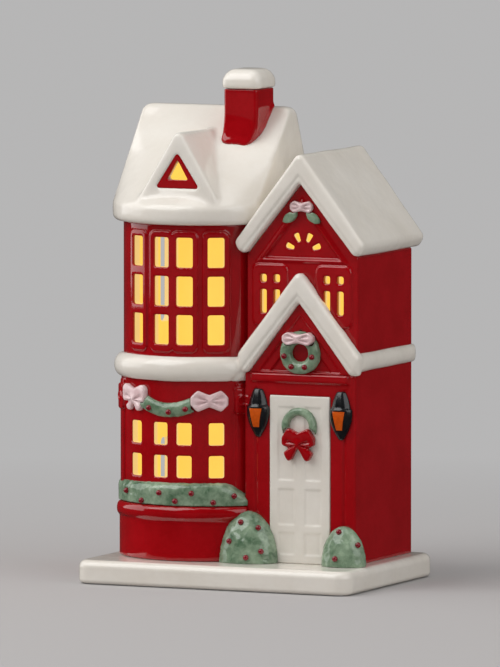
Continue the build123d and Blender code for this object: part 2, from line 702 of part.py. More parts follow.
def make_dormer_frame():
    face = triangle(DORMER_X, DORMER_FRAME_HALF, *roof_levels(DORMER_FRAME_SHARES))
    front = DORMER_FRONT + DORMER_FRAME_SUNK
    return upright(face, front, front + DORMER_FRAME_THICK)


def dormer_frame_seat():
    face = triangle(DORMER_X, DORMER_FRAME_HALF, *roof_levels(DORMER_FRAME_SHARES))
    back = DORMER_FRONT + DORMER_FRAME_SUNK + DORMER_FRAME_THICK
    return upright(face, DORMER_FRONT - WALL, back)


def make_wing_roof(neighbours):
    half = WING_HALF + WING_ROOF_SIDE_OVERHANG
    inner_half = half - WING_ROOF_FOOT
    apex = GABLE_APEX + WING_ROOF_RISE
    foot = apex - WING_ROOF_SLOPE_SHARE * half
    inner_foot = gable_level(WING_X + inner_half)
    outline = Polygon(
        (WING_X, apex),
        (WING_X + half, foot),
        (WING_X + inner_half, inner_foot),
        (WING_X, GABLE_APEX),
        (WING_X - inner_half, inner_foot),
        (WING_X - half, foot),
        align=None,
    )
    rounded = [v for v in outline.vertices() if v.Y != GABLE_APEX]
    outline = fillet(rounded, WING_ROOF_ROUND)
    front = WING_FRONT - WING_ROOF_FRONT_OVERHANG
    roof = upright(outline, front, HOUSE_BACK + WING_ROOF_BACK_OVERHANG)
    roof = fillet(front_edges(roof), WING_ROOF_EDGE_ROUND)
    return roof - neighbours


def make_chimney(roof):
    stack = block(
        CHIMNEY_LEFT, CHIMNEY_RIGHT, CHIMNEY_FRONT, CHIMNEY_BACK, BLOCK_TOP + ROLL_HEIGHT, CHIMNEY_TOP
    )
    stack = fillet(stack.edges().filter_by(Axis.Z), CHIMNEY_ROUND)
    return stack - roof


def make_chimney_cap():
    cap = block(
        CHIMNEY_LEFT - CAP_OVERHANG, CHIMNEY_RIGHT + CAP_OVERHANG,
        CHIMNEY_FRONT - CAP_OVERHANG, CHIMNEY_BACK + CAP_OVERHANG, CHIMNEY_TOP, CAP_TOP,
    )
    cap = fillet(cap.edges().filter_by(Axis.Z), CAP_ROUND)
    cap = fillet(cap.edges().group_by(Axis.Z)[-1], CAP_ROUND)
    return fillet(cap.edges().group_by(Axis.Z)[0], CAP_FOOT_ROUND)


def planter_ring(radius, low, high):
    """Crescent between the bow and a wider circle, before the house is cut from it."""
    disc = Pos(PLANTER_X, BOW_Y) * Circle(radius)
    front = disc & span(-HOUSE_SIDE, PLANTER_RIGHT, BOW_Y - 2 * radius, BOW_Y - radius / 2)
    return Pos(0, 0, low) * extrude(front, high - low)


def outer_rim(solid, level):
    """The planter's rounded outer edge at one height."""
    rim = solid.edges().filter_by_position(Axis.Z, level, level)
    return rim.filter_by(GeomType.CIRCLE)


def make_trough(house):
    body = planter_ring(TROUGH_RADIUS, SLAB_HEIGHT, RIM_LOW)
    rim = planter_ring(RIM_RADIUS, RIM_LOW, RIM_HIGH)
    rounding = RIM_ROUND_SHARE * (RIM_HIGH - RIM_LOW)
    rim = fillet(outer_rim(rim, RIM_LOW) + outer_rim(rim, RIM_HIGH), rounding)
    return body + rim - house


def make_greenery(house):
    roll = planter_ring(GREENERY_RADIUS, RIM_HIGH, GREENERY_TOP)
    rise = GREENERY_TOP - RIM_HIGH
    end = roll.faces().sort_by(Axis.X)[-1].edges().sort_by(Axis.Z)[-1]
    roll = fillet(end, GREENERY_END_ROUND_SHARE * rise)
    roll = fillet(outer_rim(roll, GREENERY_TOP), GREENERY_ROUND_SHARE * rise)
    return roll - house


def make_bush(bush, neighbours):
    offset, half_width, depth, height = bush
    dome = scale(Sphere(1), by=(half_width, depth, height))
    dome &= block(-half_width, half_width, -depth, depth, 0, height)
    return Pos(WING_X + offset, PORCH_FRONT - BUSH_OUT, SLAB_HEIGHT) * dome - neighbours


def garland_place(share, proud=0):
    """Point along the garland, from -1 at its left end to 1 at its right."""
    turn = math.radians(GARLAND_MIDDLE_ANGLE + GARLAND_ANGLE * share)
    level = GARLAND_LOW + (GARLAND_HIGH - GARLAND_LOW) * share**2
    reach = LOWER_BOW_RADIUS + proud
    return BOW_X + reach * math.sin(turn), BOW_Y - reach * math.cos(turn), level


def make_garland(neighbours):
    last = GARLAND_POINTS - 1
    shares = [2 * number / last - 1 for number in range(GARLAND_POINTS)]
    path = Spline(*[garland_place(share) for share in shares])
    outward = Vector(*garland_place(shares[0], GARLAND_PROUD)) - path @ 0
    start = Plane(origin=path @ 0, x_dir=outward, z_dir=path % 0)
    band = sweep(start * Ellipse(GARLAND_PROUD, GARLAND_HALF_HEIGHT), path) - neighbours
    return band.solids().sort_by(SortBy.VOLUME)[-1]


def ribbon_face(width, height):
    """Outline of a tied ribbon: two loops that narrow to a knot."""
    knot = KNOT_SHARE * height
    corner = LOOP_CORNER_SHARE * height
    rise = height / 2 - corner
    face = Circle(knot)
    for side in (-1, 1):
        x = side * (width / 2 - corner)
        loop = Circle(knot) + Pos(x, rise) * Circle(corner) + Pos(x, -rise) * Circle(corner)
        face += make_hull(loop.edges())
    return face


def ribbon(width, height, proud, tail_length=0):
    """Ribbon seated through the face that it is fixed to."""
    face = ribbon_face(width, height)
    if tail_length:
        for side in (-1, 1):
            tail = Pos(0, -tail_length / 2) * SlotOverall(tail_length, TAIL_WIDTH, rotation=90)
            face += Rot(0, 0, side * TAIL_ANGLE) * tail
    solid = upright(face, -proud, SEAT)
    return fillet(front_edges(solid), RIBBON_ROUND)


def make_garland_ribbons(walls):
    left = on_bow(LOWER_BOW_RADIUS, LEFT_RIBBON_ANGLE, LEFT_RIBBON_LEVEL) * ribbon(
        LEFT_RIBBON_WIDTH, LEFT_RIBBON_HEIGHT, RIBBON_PROUD, LEFT_TAIL_LENGTH
    )
    right = on_bow(LOWER_BOW_RADIUS, RIGHT_RIBBON_ANGLE, RIGHT_RIBBON_LEVEL) * ribbon(
        RIGHT_RIBBON_WIDTH, RIGHT_RIBBON_HEIGHT, RIBBON_PROUD
    )
    return Part() + [left, right] - walls


def wreath(level, face, radius, thick):
    """Ring seated on an upright face."""
    return Pos(WING_X, face, level) * Rot(90, 0, 0) * Torus(radius, thick)


def leaf_face():
    """Pointed leaf between two arcs."""
    half = LEAF_LENGTH / 2
    radius = (half**2 + (LEAF_WIDTH / 2) ** 2) / LEAF_WIDTH
    drop = radius - LEAF_WIDTH / 2
    return (Pos(0, drop) * Circle(radius)) & (Pos(0, -drop) * Circle(radius))


def make_leaves(neighbours):
    leaves = []
    for side in (-1, 1):
        solid = upright(Rot(0, 0, -side * LEAF_ANGLE) * leaf_face(), -LEAF_PROUD, SEAT)
        level = GABLE_APEX - LEAF_BELOW_APEX
        leaves.append(Pos(WING_X + side * LEAF_OFFSET, WING_FRONT, level) * solid)
    return Part() + leaves - neighbours


def lantern_glass_form(x):
    face = Polygon(
        (x - LANTERN_GLASS_LOW_HALF, LANTERN_GLASS_LOW),
        (x + LANTERN_GLASS_LOW_HALF, LANTERN_GLASS_LOW),
        (x + LANTERN_GLASS_HIGH_HALF, LANTERN_GLASS_HIGH),
        (x - LANTERN_GLASS_HIGH_HALF, LANTERN_GLASS_HIGH),
        align=None,
    )
    return upright(face, PORCH_FRONT - LANTERN_RADIUS, PORCH_FRONT)


def lantern_form():
    """Teardrop turned about its own axis and flattened in depth."""
    tip = (LANTERN_TIP_RADIUS, LANTERN_LOW)
    top = (LANTERN_TOP_RADIUS, LANTERN_HIGH)
    side = Spline(tip, (LANTERN_RADIUS, LANTERN_SHOULDER), top)
    section = make_face(side + Polyline(top, (0, LANTERN_HIGH), (0, LANTERN_LOW), tip))
    form = revolve(Plane.XZ * section, Axis.Z)
    form = fillet(form.edges().group_by(Axis.Z)[-1], LANTERN_TOP_ROUND)
    return scale(form, by=(1, LANTERN_DEPTH_SHARE, 1))


def make_lanterns(walls):
    """Case and glass of the two lanterns: the glass is a slice in the front of each case."""
    form = lantern_form()
    cases, panes = [], []
    for side in (-1, 1):
        x = WING_X + side * LANTERN_OFFSET_SHARE * WING_HALF
        case = Pos(x, PORCH_FRONT, 0) * form - walls
        core = Pos(x, PORCH_FRONT, 0) * scale(form, by=(1, 1 - LANTERN_GLASS_THICK / LANTERN_RADIUS, 1))
        pane = (case & lantern_glass_form(x)) - core
        cases.append(case - pane)
        panes.append(pane)
    return Part() + cases, Part() + panes


def berries_on(carrier, spots):
    """Round berries pressed into one carrier, each with its poles to the front and back."""
    berry = Rot(90, 0, 0) * Sphere(BERRY_RADIUS)
    return [Pos(*spot) * berry - carrier for spot in spots]


def planter_spots():
    reach = GREENERY_RADIUS + BERRY_PROUD
    for turn, share in zip(PLANTER_BERRY_ANGLES, PLANTER_BERRY_SHARES):
        angle = math.radians(turn)
        level = RIM_HIGH + share * (GREENERY_TOP - RIM_HIGH)
        yield PLANTER_X + reach * math.sin(angle), BOW_Y - reach * math.cos(angle), level


def bush_spots(bush, turns, shares):
    offset, half_width, depth, height = bush
    for turn, share in zip(turns, shares):
        angle = math.radians(turn)
        ring = math.sqrt(1 - share**2)
        across = (half_width + BERRY_PROUD) * ring * math.sin(angle)
        out = (depth + BERRY_PROUD) * ring * math.cos(angle)
        yield WING_X + offset + across, PORCH_FRONT - BUSH_OUT - out, SLAB_HEIGHT + share * height


def garland_spots():
    for share in GARLAND_BERRY_SHARES:
        x, y, z = garland_place(share, GARLAND_PROUD)
        yield x, y, z - GARLAND_BERRY_DROP


def wreath_spots():
    for turn in WREATH_BERRY_ANGLES:
        angle = math.radians(turn)
        x = WING_X + PORCH_WREATH_RADIUS * math.cos(angle)
        z = PORCH_WREATH_LEVEL - PORCH_WREATH_RADIUS * math.sin(angle)
        yield x, PORCH_FRONT + PANEL_STEP - PORCH_WREATH_THICK - BERRY_PROUD, z


def case_half_length():
    return CELL_LENGTH / 2 + CELL_NUB_LENGTH + CONTACT_THICK + CASE_WALL + LID_LAND


def bay_half_length():
    return CELL_LENGTH / 2 + CELL_NUB_LENGTH + CONTACT_THICK


def bay_half_width():
    return CELL_DIAMETER + CELL_GAP * 3 / 2


def case_plan(margin):
    """Plan of the battery case, which has a bay for the switch behind the one for the cells."""
    half_length = case_half_length() + margin
    front = -bay_half_width() - CASE_WALL - margin
    back = bay_half_width() + 2 * CASE_WALL + SWITCH_BAY + margin
    return span(-half_length, half_length, front, back)


def cell_level():
    return FLANGE_SUNK + LID_THICK + CELL_GAP + CELL_DIAMETER / 2


def case_top():
    return cell_level() + CELL_DIAMETER / 2 + CELL_GAP + CASE_TOP_WALL


def at_light(solid):
    """Moves a piece of the light unit, drawn about the unit's own middle, to its place."""
    return Pos(LIGHT_X, LIGHT_Y, 0) * solid


def hinge_x():
    return -bay_half_length() - HINGE_DIAMETER


def screw_x():
    return bay_half_length() + LID_LAND / 2


def switch_y():
    return bay_half_width() + CASE_WALL + SWITCH_BAY / 2


def make_case():
    """Battery case with its mounting flange, a bay open below and a slot for the switch."""
    floor = FLANGE_SUNK + FLANGE_THICK
    ceiling = case_top() - CASE_TOP_WALL
    body = Pos(0, 0, FLANGE_SUNK) * extrude(case_plan(0), case_top() - FLANGE_SUNK)
    flange = fillet(case_plan(FLANGE_MARGIN).vertices(), FLANGE_CORNER)
    case = body + Pos(0, 0, FLANGE_SUNK) * extrude(flange, FLANGE_THICK)
    room = SWITCH_LENGTH + SWITCH_TRAVEL + 2 * SWITCH_FOOT_MARGIN + 2 * SWITCH_GAP
    switch_bay = Pos(0, switch_y(), floor) * extrude(Rectangle(room, SWITCH_BAY), ceiling - floor)
    slot = Rectangle(
        SWITCH_LENGTH + SWITCH_TRAVEL + 2 * SWITCH_GAP, SWITCH_WIDTH + 2 * SWITCH_GAP
    )
    case -= switch_bay + Pos(0, switch_y(), FLANGE_SUNK) * extrude(slot, FLANGE_THICK)
    bay = block(
        -bay_half_length(), bay_half_length(), -bay_half_width(), bay_half_width(),
        FLANGE_SUNK, case_top() - CASE_TOP_WALL,
    )
    lid_room = block(
        hinge_x() - HINGE_DIAMETER, bay_half_length() + LID_LAND + DOOR_GAP,
        -bay_half_width(), bay_half_width(), FLANGE_SUNK, FLANGE_SUNK + LID_THICK + DOOR_GAP,
    )
    hinge_room = block(
        hinge_x() - HINGE_DIAMETER, hinge_x() + HINGE_DIAMETER, -bay_half_width(), bay_half_width(),
        FLANGE_SUNK, FLANGE_SUNK + 2 * HINGE_DIAMETER,
    )
    screw_hole = Pos(screw_x(), 0, FLANGE_SUNK) * extrude(
        Circle(SCREW_DIAMETER / 2 + SCREW_GAP), SCREW_LENGTH + 2 * LID_THICK
    )
    pin_hole = Pos(hinge_x(), 0, FLANGE_SUNK + HINGE_DIAMETER / 2) * Rot(90, 0, 0) * Cylinder(
        HINGE_DIAMETER / 2 + HINGE_GAP, 2 * (bay_half_width() + CASE_WALL / 2)
    )
    return at_light(case - bay - lid_room - hinge_room - screw_hole - pin_hole)


def make_lid():
    """Battery door with its hinge barrel; the barrel's ends run in the case."""
    length_end = bay_half_length() + LID_LAND
    half_width = bay_half_width() - DOOR_GAP
    plate = block(hinge_x(), length_end, -half_width, half_width, FLANGE_SUNK, FLANGE_SUNK + LID_THICK)
    barrel = Pos(hinge_x(), 0, FLANGE_SUNK + HINGE_DIAMETER / 2) * Rot(90, 0, 0) * Cylinder(
        HINGE_DIAMETER / 2, 2 * (bay_half_width() + CASE_WALL / 2 - DOOR_GAP)
    )
    hole = Pos(screw_x(), 0, FLANGE_SUNK) * extrude(Circle(SCREW_DIAMETER / 2 + SCREW_GAP), LID_THICK)
    return at_light(plate + barrel - hole)


def make_switch():
    """Sliding knob, held by a wider foot on the floor of its bay."""
    floor = FLANGE_SUNK + FLANGE_THICK + SWITCH_GAP
    low = FLANGE_SUNK - SWITCH_PROUD
    stem = Pos(0, 0, low) * extrude(Rectangle(SWITCH_LENGTH, SWITCH_WIDTH), floor - low)
    foot_plan = Rectangle(
        SWITCH_LENGTH + 2 * SWITCH_FOOT_MARGIN, SWITCH_WIDTH + 2 * SWITCH_FOOT_MARGIN
    )
    foot = Pos(0, 0, floor) * extrude(foot_plan, SWITCH_FOOT_THICK)
    return at_light(Pos(-SWITCH_TRAVEL / 2, switch_y(), 0) * (stem + foot))


def make_screw():
    head = Pos(screw_x(), 0, FLANGE_SUNK - SCREW_HEAD_HEIGHT) * extrude(
        Circle(SCREW_HEAD_DIAMETER / 2), SCREW_HEAD_HEIGHT
    )
    shank = Pos(screw_x(), 0, FLANGE_SUNK) * extrude(Circle(SCREW_DIAMETER / 2), SCREW_LENGTH)
    slot = Pos(screw_x(), 0, FLANGE_SUNK - SCREW_HEAD_HEIGHT) * extrude(
        Rectangle(SCREW_HEAD_DIAMETER, SCREW_SLOT_WIDTH), SCREW_SLOT_DEPTH
    )
    return at_light(head + shank - slot)


def make_cells():
    """Two cells side by side, pointing opposite ways."""
    cells = []
    for side in (-1, 1):
        y = side * (CELL_DIAMETER + CELL_GAP) / 2
        can = Pos(-side * CELL_NUB_LENGTH / 2, y, cell_level()) * Rot(0, 90, 0) * Cylinder(
            CELL_DIAMETER / 2, CELL_LENGTH
        )
        nub_x = side * (CELL_LENGTH + CELL_NUB_LENGTH) / 2 - side * CELL_NUB_LENGTH / 2
        nub = Pos(nub_x, y, cell_level()) * Rot(0, 90, 0) * Cylinder(
            CELL_NUB_DIAMETER / 2, CELL_NUB_LENGTH
        )
        cells.append(at_light(can + nub))
    return Part() + cells


def make_contacts():
    """Spring plates at both ends of the cells."""
    plates = []
    reach = bay_half_length()
    tip = CELL_LENGTH / 2 + CELL_NUB_LENGTH / 2
    half_width = CELL_DIAMETER + CELL_GAP
    for side in (-1, 1):
        inner, outer = sorted((side * tip, side * reach))
        plate = block(
            inner, outer, -half_width, half_width,
            cell_level() - CONTACT_WIDTH / 2, cell_level() + CONTACT_WIDTH / 2,
        )
        plates.append(at_light(plate))
    return Part() + plates


def make_board():
    low = case_top()
    return at_light(block(
        -BOARD_LENGTH / 2, BOARD_LENGTH / 2, -BOARD_WIDTH / 2, BOARD_WIDTH / 2, low, low + BOARD_THICK
    ))


def make_leds():
    low = case_top() + BOARD_THICK
    radius = LED_DIAMETER / 2
    outline = Polyline((0, 0), (radius, 0), (radius, LED_HEIGHT - radius))
    dome = RadiusArc((radius, LED_HEIGHT - radius), (0, LED_HEIGHT), -radius)
    section = make_face(outline + dome + Line((0, LED_HEIGHT), (0, 0)))
    led = revolve(Plane.XZ * section, Axis.Z)
    middle = (LED_COUNT - 1) / 2
    return Part() + [
        at_light(Pos((number - middle) * LED_SPACING, 0, low) * led) for number in range(LED_COUNT)
    ]


def write(name, solid):
    export_step(solid, os.path.join("parts", name + ".step"))


def main():
    os.makedirs("parts", exist_ok=True)
    lower = make_lower_walls()
    upper = make_upper_walls()
    walls = [lower, upper]
    lower_fill = Pos(0, 0, SLAB_HEIGHT) * extrude(
        storey_plan(LOWER_BOW_RADIUS, PORCH_FRONT), STOREY_TOP - SLAB_HEIGHT
    )
    block_fill = Pos(0, 0, STOREY_TOP) * extrude(block_plan(UPPER_BOW_RADIUS), BLOCK_TOP - STOREY_TOP)

    roof_form = make_roof_form()
    dormer_form = make_dormer_form()
    dormer_room = make_dormer_room()
    roof = roof_form - make_roof_hollow() - dormer_room
    dormer = dormer_form - roof_form - dormer_room - dormer_pane() - dormer_frame_seat()
    porch_panel = make_porch_panel() - upper
    porch_snow = make_porch_snow() - upper
    door = make_door()
    trough = make_trough(lower_fill) - lower
    greenery = make_greenery(lower_fill) - lower
    planter = [trough, greenery]
    left_bush = make_bush(LEFT_BUSH, [lower_fill, door, *planter])
    right_bush = make_bush(RIGHT_BUSH, [lower_fill, door])
    ribbons = make_garland_ribbons([lower_fill, lower])
    garland = make_garland([lower_fill, lower, ribbons])
    lanterns, lantern_glass = make_lanterns(lower_fill)
    porch_ribbon = Pos(WING_X, PORCH_FRONT + PANEL_STEP, PORCH_RIBBON_LEVEL) * ribbon(
        PORCH_RIBBON_WIDTH, PORCH_RIBBON_HEIGHT, PORCH_RIBBON_PROUD
    ) - [porch_panel, upper]
    porch_wreath = wreath(
        PORCH_WREATH_LEVEL, PORCH_FRONT + PANEL_STEP, PORCH_WREATH_RADIUS, PORCH_WREATH_THICK
    ) - [porch_panel, upper, lower, porch_ribbon]
    door_face = PORCH_FRONT - DOOR_PROUD
    door_ribbon = Pos(WING_X, door_face, DOOR_RIBBON_LEVEL) * ribbon(
        DOOR_RIBBON_WIDTH, DOOR_RIBBON_HEIGHT, DOOR_RIBBON_PROUD, DOOR_TAIL_LENGTH
    ) - [door, lower]
    door_wreath = wreath(
        DOOR_WREATH_LEVEL, door_face, DOOR_WREATH_RADIUS, DOOR_WREATH_THICK
    ) - [door, lower, door_ribbon]
    gable_ribbon = Pos(WING_X, WING_FRONT, GABLE_APEX - GABLE_RIBBON_BELOW_APEX) * ribbon(
        GABLE_RIBBON_WIDTH, GABLE_RIBBON_HEIGHT, GABLE_RIBBON_PROUD
    ) - upper
    left_spots = bush_spots(LEFT_BUSH, LEFT_BUSH_BERRY_ANGLES, LEFT_BUSH_BERRY_SHARES)
    right_spots = bush_spots(RIGHT_BUSH, RIGHT_BUSH_BERRY_ANGLES, RIGHT_BUSH_BERRY_SHARES)
    berries = Part() + [
        *berries_on(planter, planter_spots()),
        *berries_on([left_bush, trough], left_spots),
        *berries_on(right_bush, right_spots),
        *berries_on(garland, garland_spots()),
        *berries_on(porch_wreath, wreath_spots()),
    ]

    pieces = {
        "base_slab": make_slab(),
        "lower_walls": lower,
        "upper_walls": upper,
        "main_roof": roof,
        "dormer": dormer,
        "dormer_frame": make_dormer_frame() - dormer_pane(),
        "wing_roof": make_wing_roof([block_fill, upper, roof_form, porch_snow]),
        "chimney": make_chimney([roof_form, dormer_form]),
        "chimney_cap": make_chimney_cap(),
        "porch_panel": porch_panel,
        "porch_snow": porch_snow,
        "bow_ledge": make_bow_ledge(walls, porch_snow),
        "side_ledge": make_side_ledge(porch_snow),
        "door": door,
        "door_wreath": door_wreath,
        "door_ribbon": door_ribbon,
        "lanterns": lanterns,
        "lantern_glass": lantern_glass,
        "planter_trough": trough,
        "planter_greenery": greenery,
        "left_bush": left_bush,
        "right_bush": right_bush,
        "garland": garland,
        "garland_ribbons": ribbons,
        "porch_wreath": porch_wreath,
        "porch_ribbon": porch_ribbon,
        "gable_ribbon": gable_ribbon,
        "gable_leaves": make_leaves([upper, gable_ribbon]),
        "berries": berries,
        "battery_case": make_case(),
        "battery_lid": make_lid(),
        "lid_screw": make_screw(),
        "switch_knob": make_switch(),
        "battery_cells": make_cells(),
        "battery_contacts": make_contacts(),
        "led_board": make_board(),
        "leds": make_leds(),
    }
    for name, solid in pieces.items():
        write(name, solid)


main()
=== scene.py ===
import json
import math

import bmesh
import bpy
from mathutils import Matrix, Vector, noise
from mathutils.bvhtree import BVHTree


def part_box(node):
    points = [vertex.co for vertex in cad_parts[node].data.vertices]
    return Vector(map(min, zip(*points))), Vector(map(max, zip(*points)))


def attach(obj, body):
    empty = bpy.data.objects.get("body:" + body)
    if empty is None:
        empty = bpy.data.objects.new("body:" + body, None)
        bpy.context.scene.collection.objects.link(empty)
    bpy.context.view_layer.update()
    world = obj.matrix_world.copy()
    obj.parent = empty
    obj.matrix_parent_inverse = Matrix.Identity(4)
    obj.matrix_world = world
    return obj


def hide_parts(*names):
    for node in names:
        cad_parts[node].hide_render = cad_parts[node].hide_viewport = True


# Looks of a lit Christmas village house of glazed ceramic.
# Metres. X runs right along the front, Y to the back, Z up from the underside of the base.

# Camera
CAMERA_TURN = math.radians(24.5)
CAMERA_LIFT = math.radians(4.86)
CAMERA_DISTANCE = 5.028
CAMERA_TARGET = (0, 0, 0.12)
CAMERA_RIGHT = -0.00243
CAMERA_UP = -0.00398
CAMERA_SENSOR = 36
CAMERA_LENS = 578.05
CAMERA_CLIP_SHARE = 4

# Stage: a floor that curves up into a backdrop
STAGE_FRONT = -3
STAGE_BACK = 1.6
STAGE_CURVE = 0.9
STAGE_TOP = 3
STAGE_HALF = 4
STAGE_STEPS = 24
STAGE_GAP = 0.0003
STAGE_UNDER_EDGE = 0.004
STAGE_TONE = (0.47, 0.466, 0.466)
FLOOR_TONE = (0.47, 0.452, 0.447)
FLOOR_OWN_LIGHT_SHARE = 0.04
BACKDROP_OWN_LIGHT_SHARE = 1
EVEN_FROM = 0.12
EVEN_TO = 0.6
STAGE_MIRRORED_SHARE = 0.07
FRONT_MIRRORED_SHARE = 0.25
FRONT_FROM = -0.9
FRONT_TO = -0.2
WORLD_TONE = (0.25, 0.25, 0.25)
WORLD_MIRRORED_SHARE = 0.08

# House plan, for telling the outer skin of a wall from its inside
HOUSE_SIDE = 0.0616
HOUSE_BACK = 0.0428
BLOCK_RIGHT = 0.0052
BOW_X = -0.0282
BOW_Y = 0.0051
PANE_TURNS = [math.radians(angle) for angle in (-29.4, -7.2, 10.2, 32.4)]
PANE_REACH = math.radians(7.5)
LOWER_BOW_RADIUS = 0.0399
UPPER_BOW_RADIUS = 0.0385
PORCH_FRONT = -0.023
WING_FRONT = -0.0204
STOREY_TOP = 0.1
WALL = 0.004
SKIN = 0.0006
WING_SKIN = 0.0015
SLOT_SKIN = 0.0003
RELIEF_SKIN = 0.0011
INSIDE_GAP = 0.0005

# Soft copies: voxel they are resampled at, rounds of smoothing, and share of the faces that is kept
FINE_VOXEL = 0.00035
PANE_VOXEL = 0.00042
WALL_VOXEL = 0.0006
SNOW_VOXEL = 0.0008
SMOOTH_SHARE = 0.5
WELD = 1e-6
SOFT_WALLS = dict(voxel=PANE_VOXEL, rounds=3, keep_share=0.1)
SOFT_MAIN_ROOF = dict(voxel=SNOW_VOXEL, rounds=36, keep_share=0.3)
SOFT_WING_ROOF = dict(voxel=WALL_VOXEL, rounds=20, keep_share=0.4)
SOFT_PORCH_SNOW = dict(voxel=WALL_VOXEL, rounds=24, keep_share=0.4)
SOFT_CAP = dict(voxel=SNOW_VOXEL, rounds=20, keep_share=0.5)
SOFT_DOOR = dict(voxel=FINE_VOXEL, rounds=14, keep_share=0.2)
SOFT_CHIMNEY = dict(voxel=FINE_VOXEL, rounds=12, keep_share=0.4)
SOFT_PANEL = dict(voxel=FINE_VOXEL, rounds=2, keep_share=0.3)
SOFT_TROUGH = dict(voxel=WALL_VOXEL, rounds=8, keep_share=0.4)
SOFT_FRAME = dict(voxel=FINE_VOXEL, rounds=4, keep_share=0.5)
SOFT_GREENS = dict(voxel=FINE_VOXEL, rounds=4, keep_share=0.4)
SOFT_PLANTER = dict(voxel=FINE_VOXEL, rounds=4, keep_share=0.3)
SOFT_RIBBON = dict(voxel=FINE_VOXEL, rounds=5, keep_share=0.4)
SOFT_LANTERN = dict(voxel=FINE_VOXEL, rounds=4, keep_share=0.4)

# Sculpted details
LEAF_LUMP = 0.00022
LEAF_LUMP_SCALE = 420
SNOW_LUMP = 0.0003
SNOW_LUMP_SCALE = 55
ROSETTE_ANGLE = math.radians(49.5)
ROSETTE_LEVEL = 0.0863
ROSETTE_RADIUS = 0.0021
ROSETTE_LINE = 0.0006
ROSETTE_PROUD = 0.00045
CREASE_DEPTH = 0.0009
CREASE_ANGLE = math.radians(16)
CREASE_SPREAD = math.radians(9)
KNOT_RADIUS = 0.0019
KNOT_PROUD = 0.0007
CAP_FROM_SHARE = 0.62
CAP_STEP_SHARE = 0.06
CAP_NARROW_SHARE = 0.16
CAP_RIB_SHARE = 0.02
CAP_RIBS = 6
CHIMNEY_FLARE_HEIGHT = 0.003
CHIMNEY_FLARE = 0.0007
FOOT_LEFT_RADIUS = 0.0025
FOOT_RIGHT_RADIUS = 0.009
FOOT_SLOPE_SHARE = 0.17
SLIDE_SHARE = 0.8
SLIDE_HEIGHT = 0.009
SLIDE_DEPTH = 0.009
ROOF_SLOPE_SHARE = 0.92
CAP_DOME = 0.0045
DOME_POWER = 4
ROOF_GIVE_SHARE = 0.38
FRAME_GIVE_SHARE = 0.06
FRAME_MARGIN = 0.001
DORMER_MARGIN = 0.004
DORMER_FACE = 0.004
PANEL_MIDDLE = 0.0334
PANEL_HALF = 0.0196
PANEL_LOW = 0.1536
PANEL_APEX = 0.1788
GABLE_TRIANGLE = (0.0334, 0.0564, 0.1206, 0.1894)
CHEVRON_TRIANGLE = (0.0334, 0.0524, 0.0691, 0.1337)
BAND_LINE_OUT = 0.0019
BAND_LINE_WIDTH = 0.0008
BAND_LINE_DEPTH = 0.0005
BAND_FACE = 0.0022
BEAD_OUT = 0.0009
BEAD_WIDTH = 0.0008
BEAD_PROUD = 0.0007
PORCH_LINE_OFFSET = 0.0225
PORCH_LINE_TOP = 0.0925
PORCH_LINE_WIDTH = 0.0007
PORCH_LINE_DEPTH = 0.0006
LOOP_ROUND_SHARE = 0.4
LOOP_ROUND_FROM_SHARE = 0.55
GREENERY_TAPER_LENGTH = 0.011
GREENERY_TAPER_SHARE = 0.45

# Noise: octaves, and the middle part of its range that is used
SMOOTH_DETAIL = 2
CLOUD_DETAIL = 3
HAZE_DETAIL = 4
FLECK_DETAIL = 5
CLOUD_LOW_SHARE = 0.3
CLOUD_HIGH_SHARE = 0.7
FLECK_LOW_SHARE = 0.35
FLECK_HIGH_SHARE = 0.65
FLECK_ROUGH_SHARE = 0.6
FLECK_TWIST_SHARE = 0.4

# Glazes: colours where thick and thin, waves per metre of the pools and of the flecks,
# roughness, and height of the wobble
GLOSS_SPREAD_SHARE = 1.2
COAT_SHARE = 0.25
COAT_ROUGH_SHARE = 0.5
WOBBLE_SCALE = 90
WOBBLE_SHARE = 0.35
GLAZES = {
    "snow_glaze": dict(
        deep=(0.80, 0.745, 0.665), thin=(0.86, 0.815, 0.745),
        pool_scale=45, fleck_scale=260, fleck_share=0.25, rough=0.15, wobble=0.0012,
    ),
    "red_glaze": dict(
        deep=(0.315, 0.001, 0.003), thin=(0.40, 0.003, 0.007),
        pool_scale=70, fleck_scale=420, fleck_share=0.3, rough=0.05, wobble=0.00012,
    ),
    "green_glaze": dict(
        deep=(0.055, 0.12, 0.062), thin=(0.36, 0.47, 0.33),
        pool_scale=120, fleck_scale=330, fleck_share=0.4, rough=0.10, wobble=0.0010,
    ),
    "pink_glaze": dict(
        deep=(0.72, 0.47, 0.48), thin=(0.88, 0.70, 0.70),
        pool_scale=160, fleck_scale=600, fleck_share=0.3, rough=0.10, wobble=0.0008,
    ),
    "berry_glaze": dict(
        deep=(0.16, 0.002, 0.008), thin=(0.27, 0.006, 0.016),
        pool_scale=300, fleck_scale=900, fleck_share=0.3, rough=0.07, wobble=0.0004,
    ),
    "black_glaze": dict(
        deep=(0.004, 0.004, 0.005), thin=(0.014, 0.014, 0.016),
        pool_scale=200, fleck_scale=700, fleck_share=0.3, rough=0.2, wobble=0.0004,
    ),
    "amber_glaze": dict(
        deep=(0.50, 0.06, 0.003), thin=(0.74, 0.12, 0.006),
        pool_scale=260, fleck_scale=800, fleck_share=0.4, rough=0.10, wobble=0.0004,
    ),
}

# Painted lamp glow on the inside of the walls and on the sides of the window openings: an even emission
# over an unglazed bisque colour stands in for the light of the lamps inside
BISQUE_DEEP = (0.30, 0.21, 0.08)
BISQUE_THIN = (0.38, 0.28, 0.12)
BISQUE_POOL_SCALE = 60
BISQUE_GRAIN_SCALE = 900
BISQUE_ROUGH_LOW = 0.6
BISQUE_ROUGH_HIGH = 0.8
BISQUE_BUMP_SHARE = 0.2
BISQUE_GRAIN_HEIGHT = 0.0002
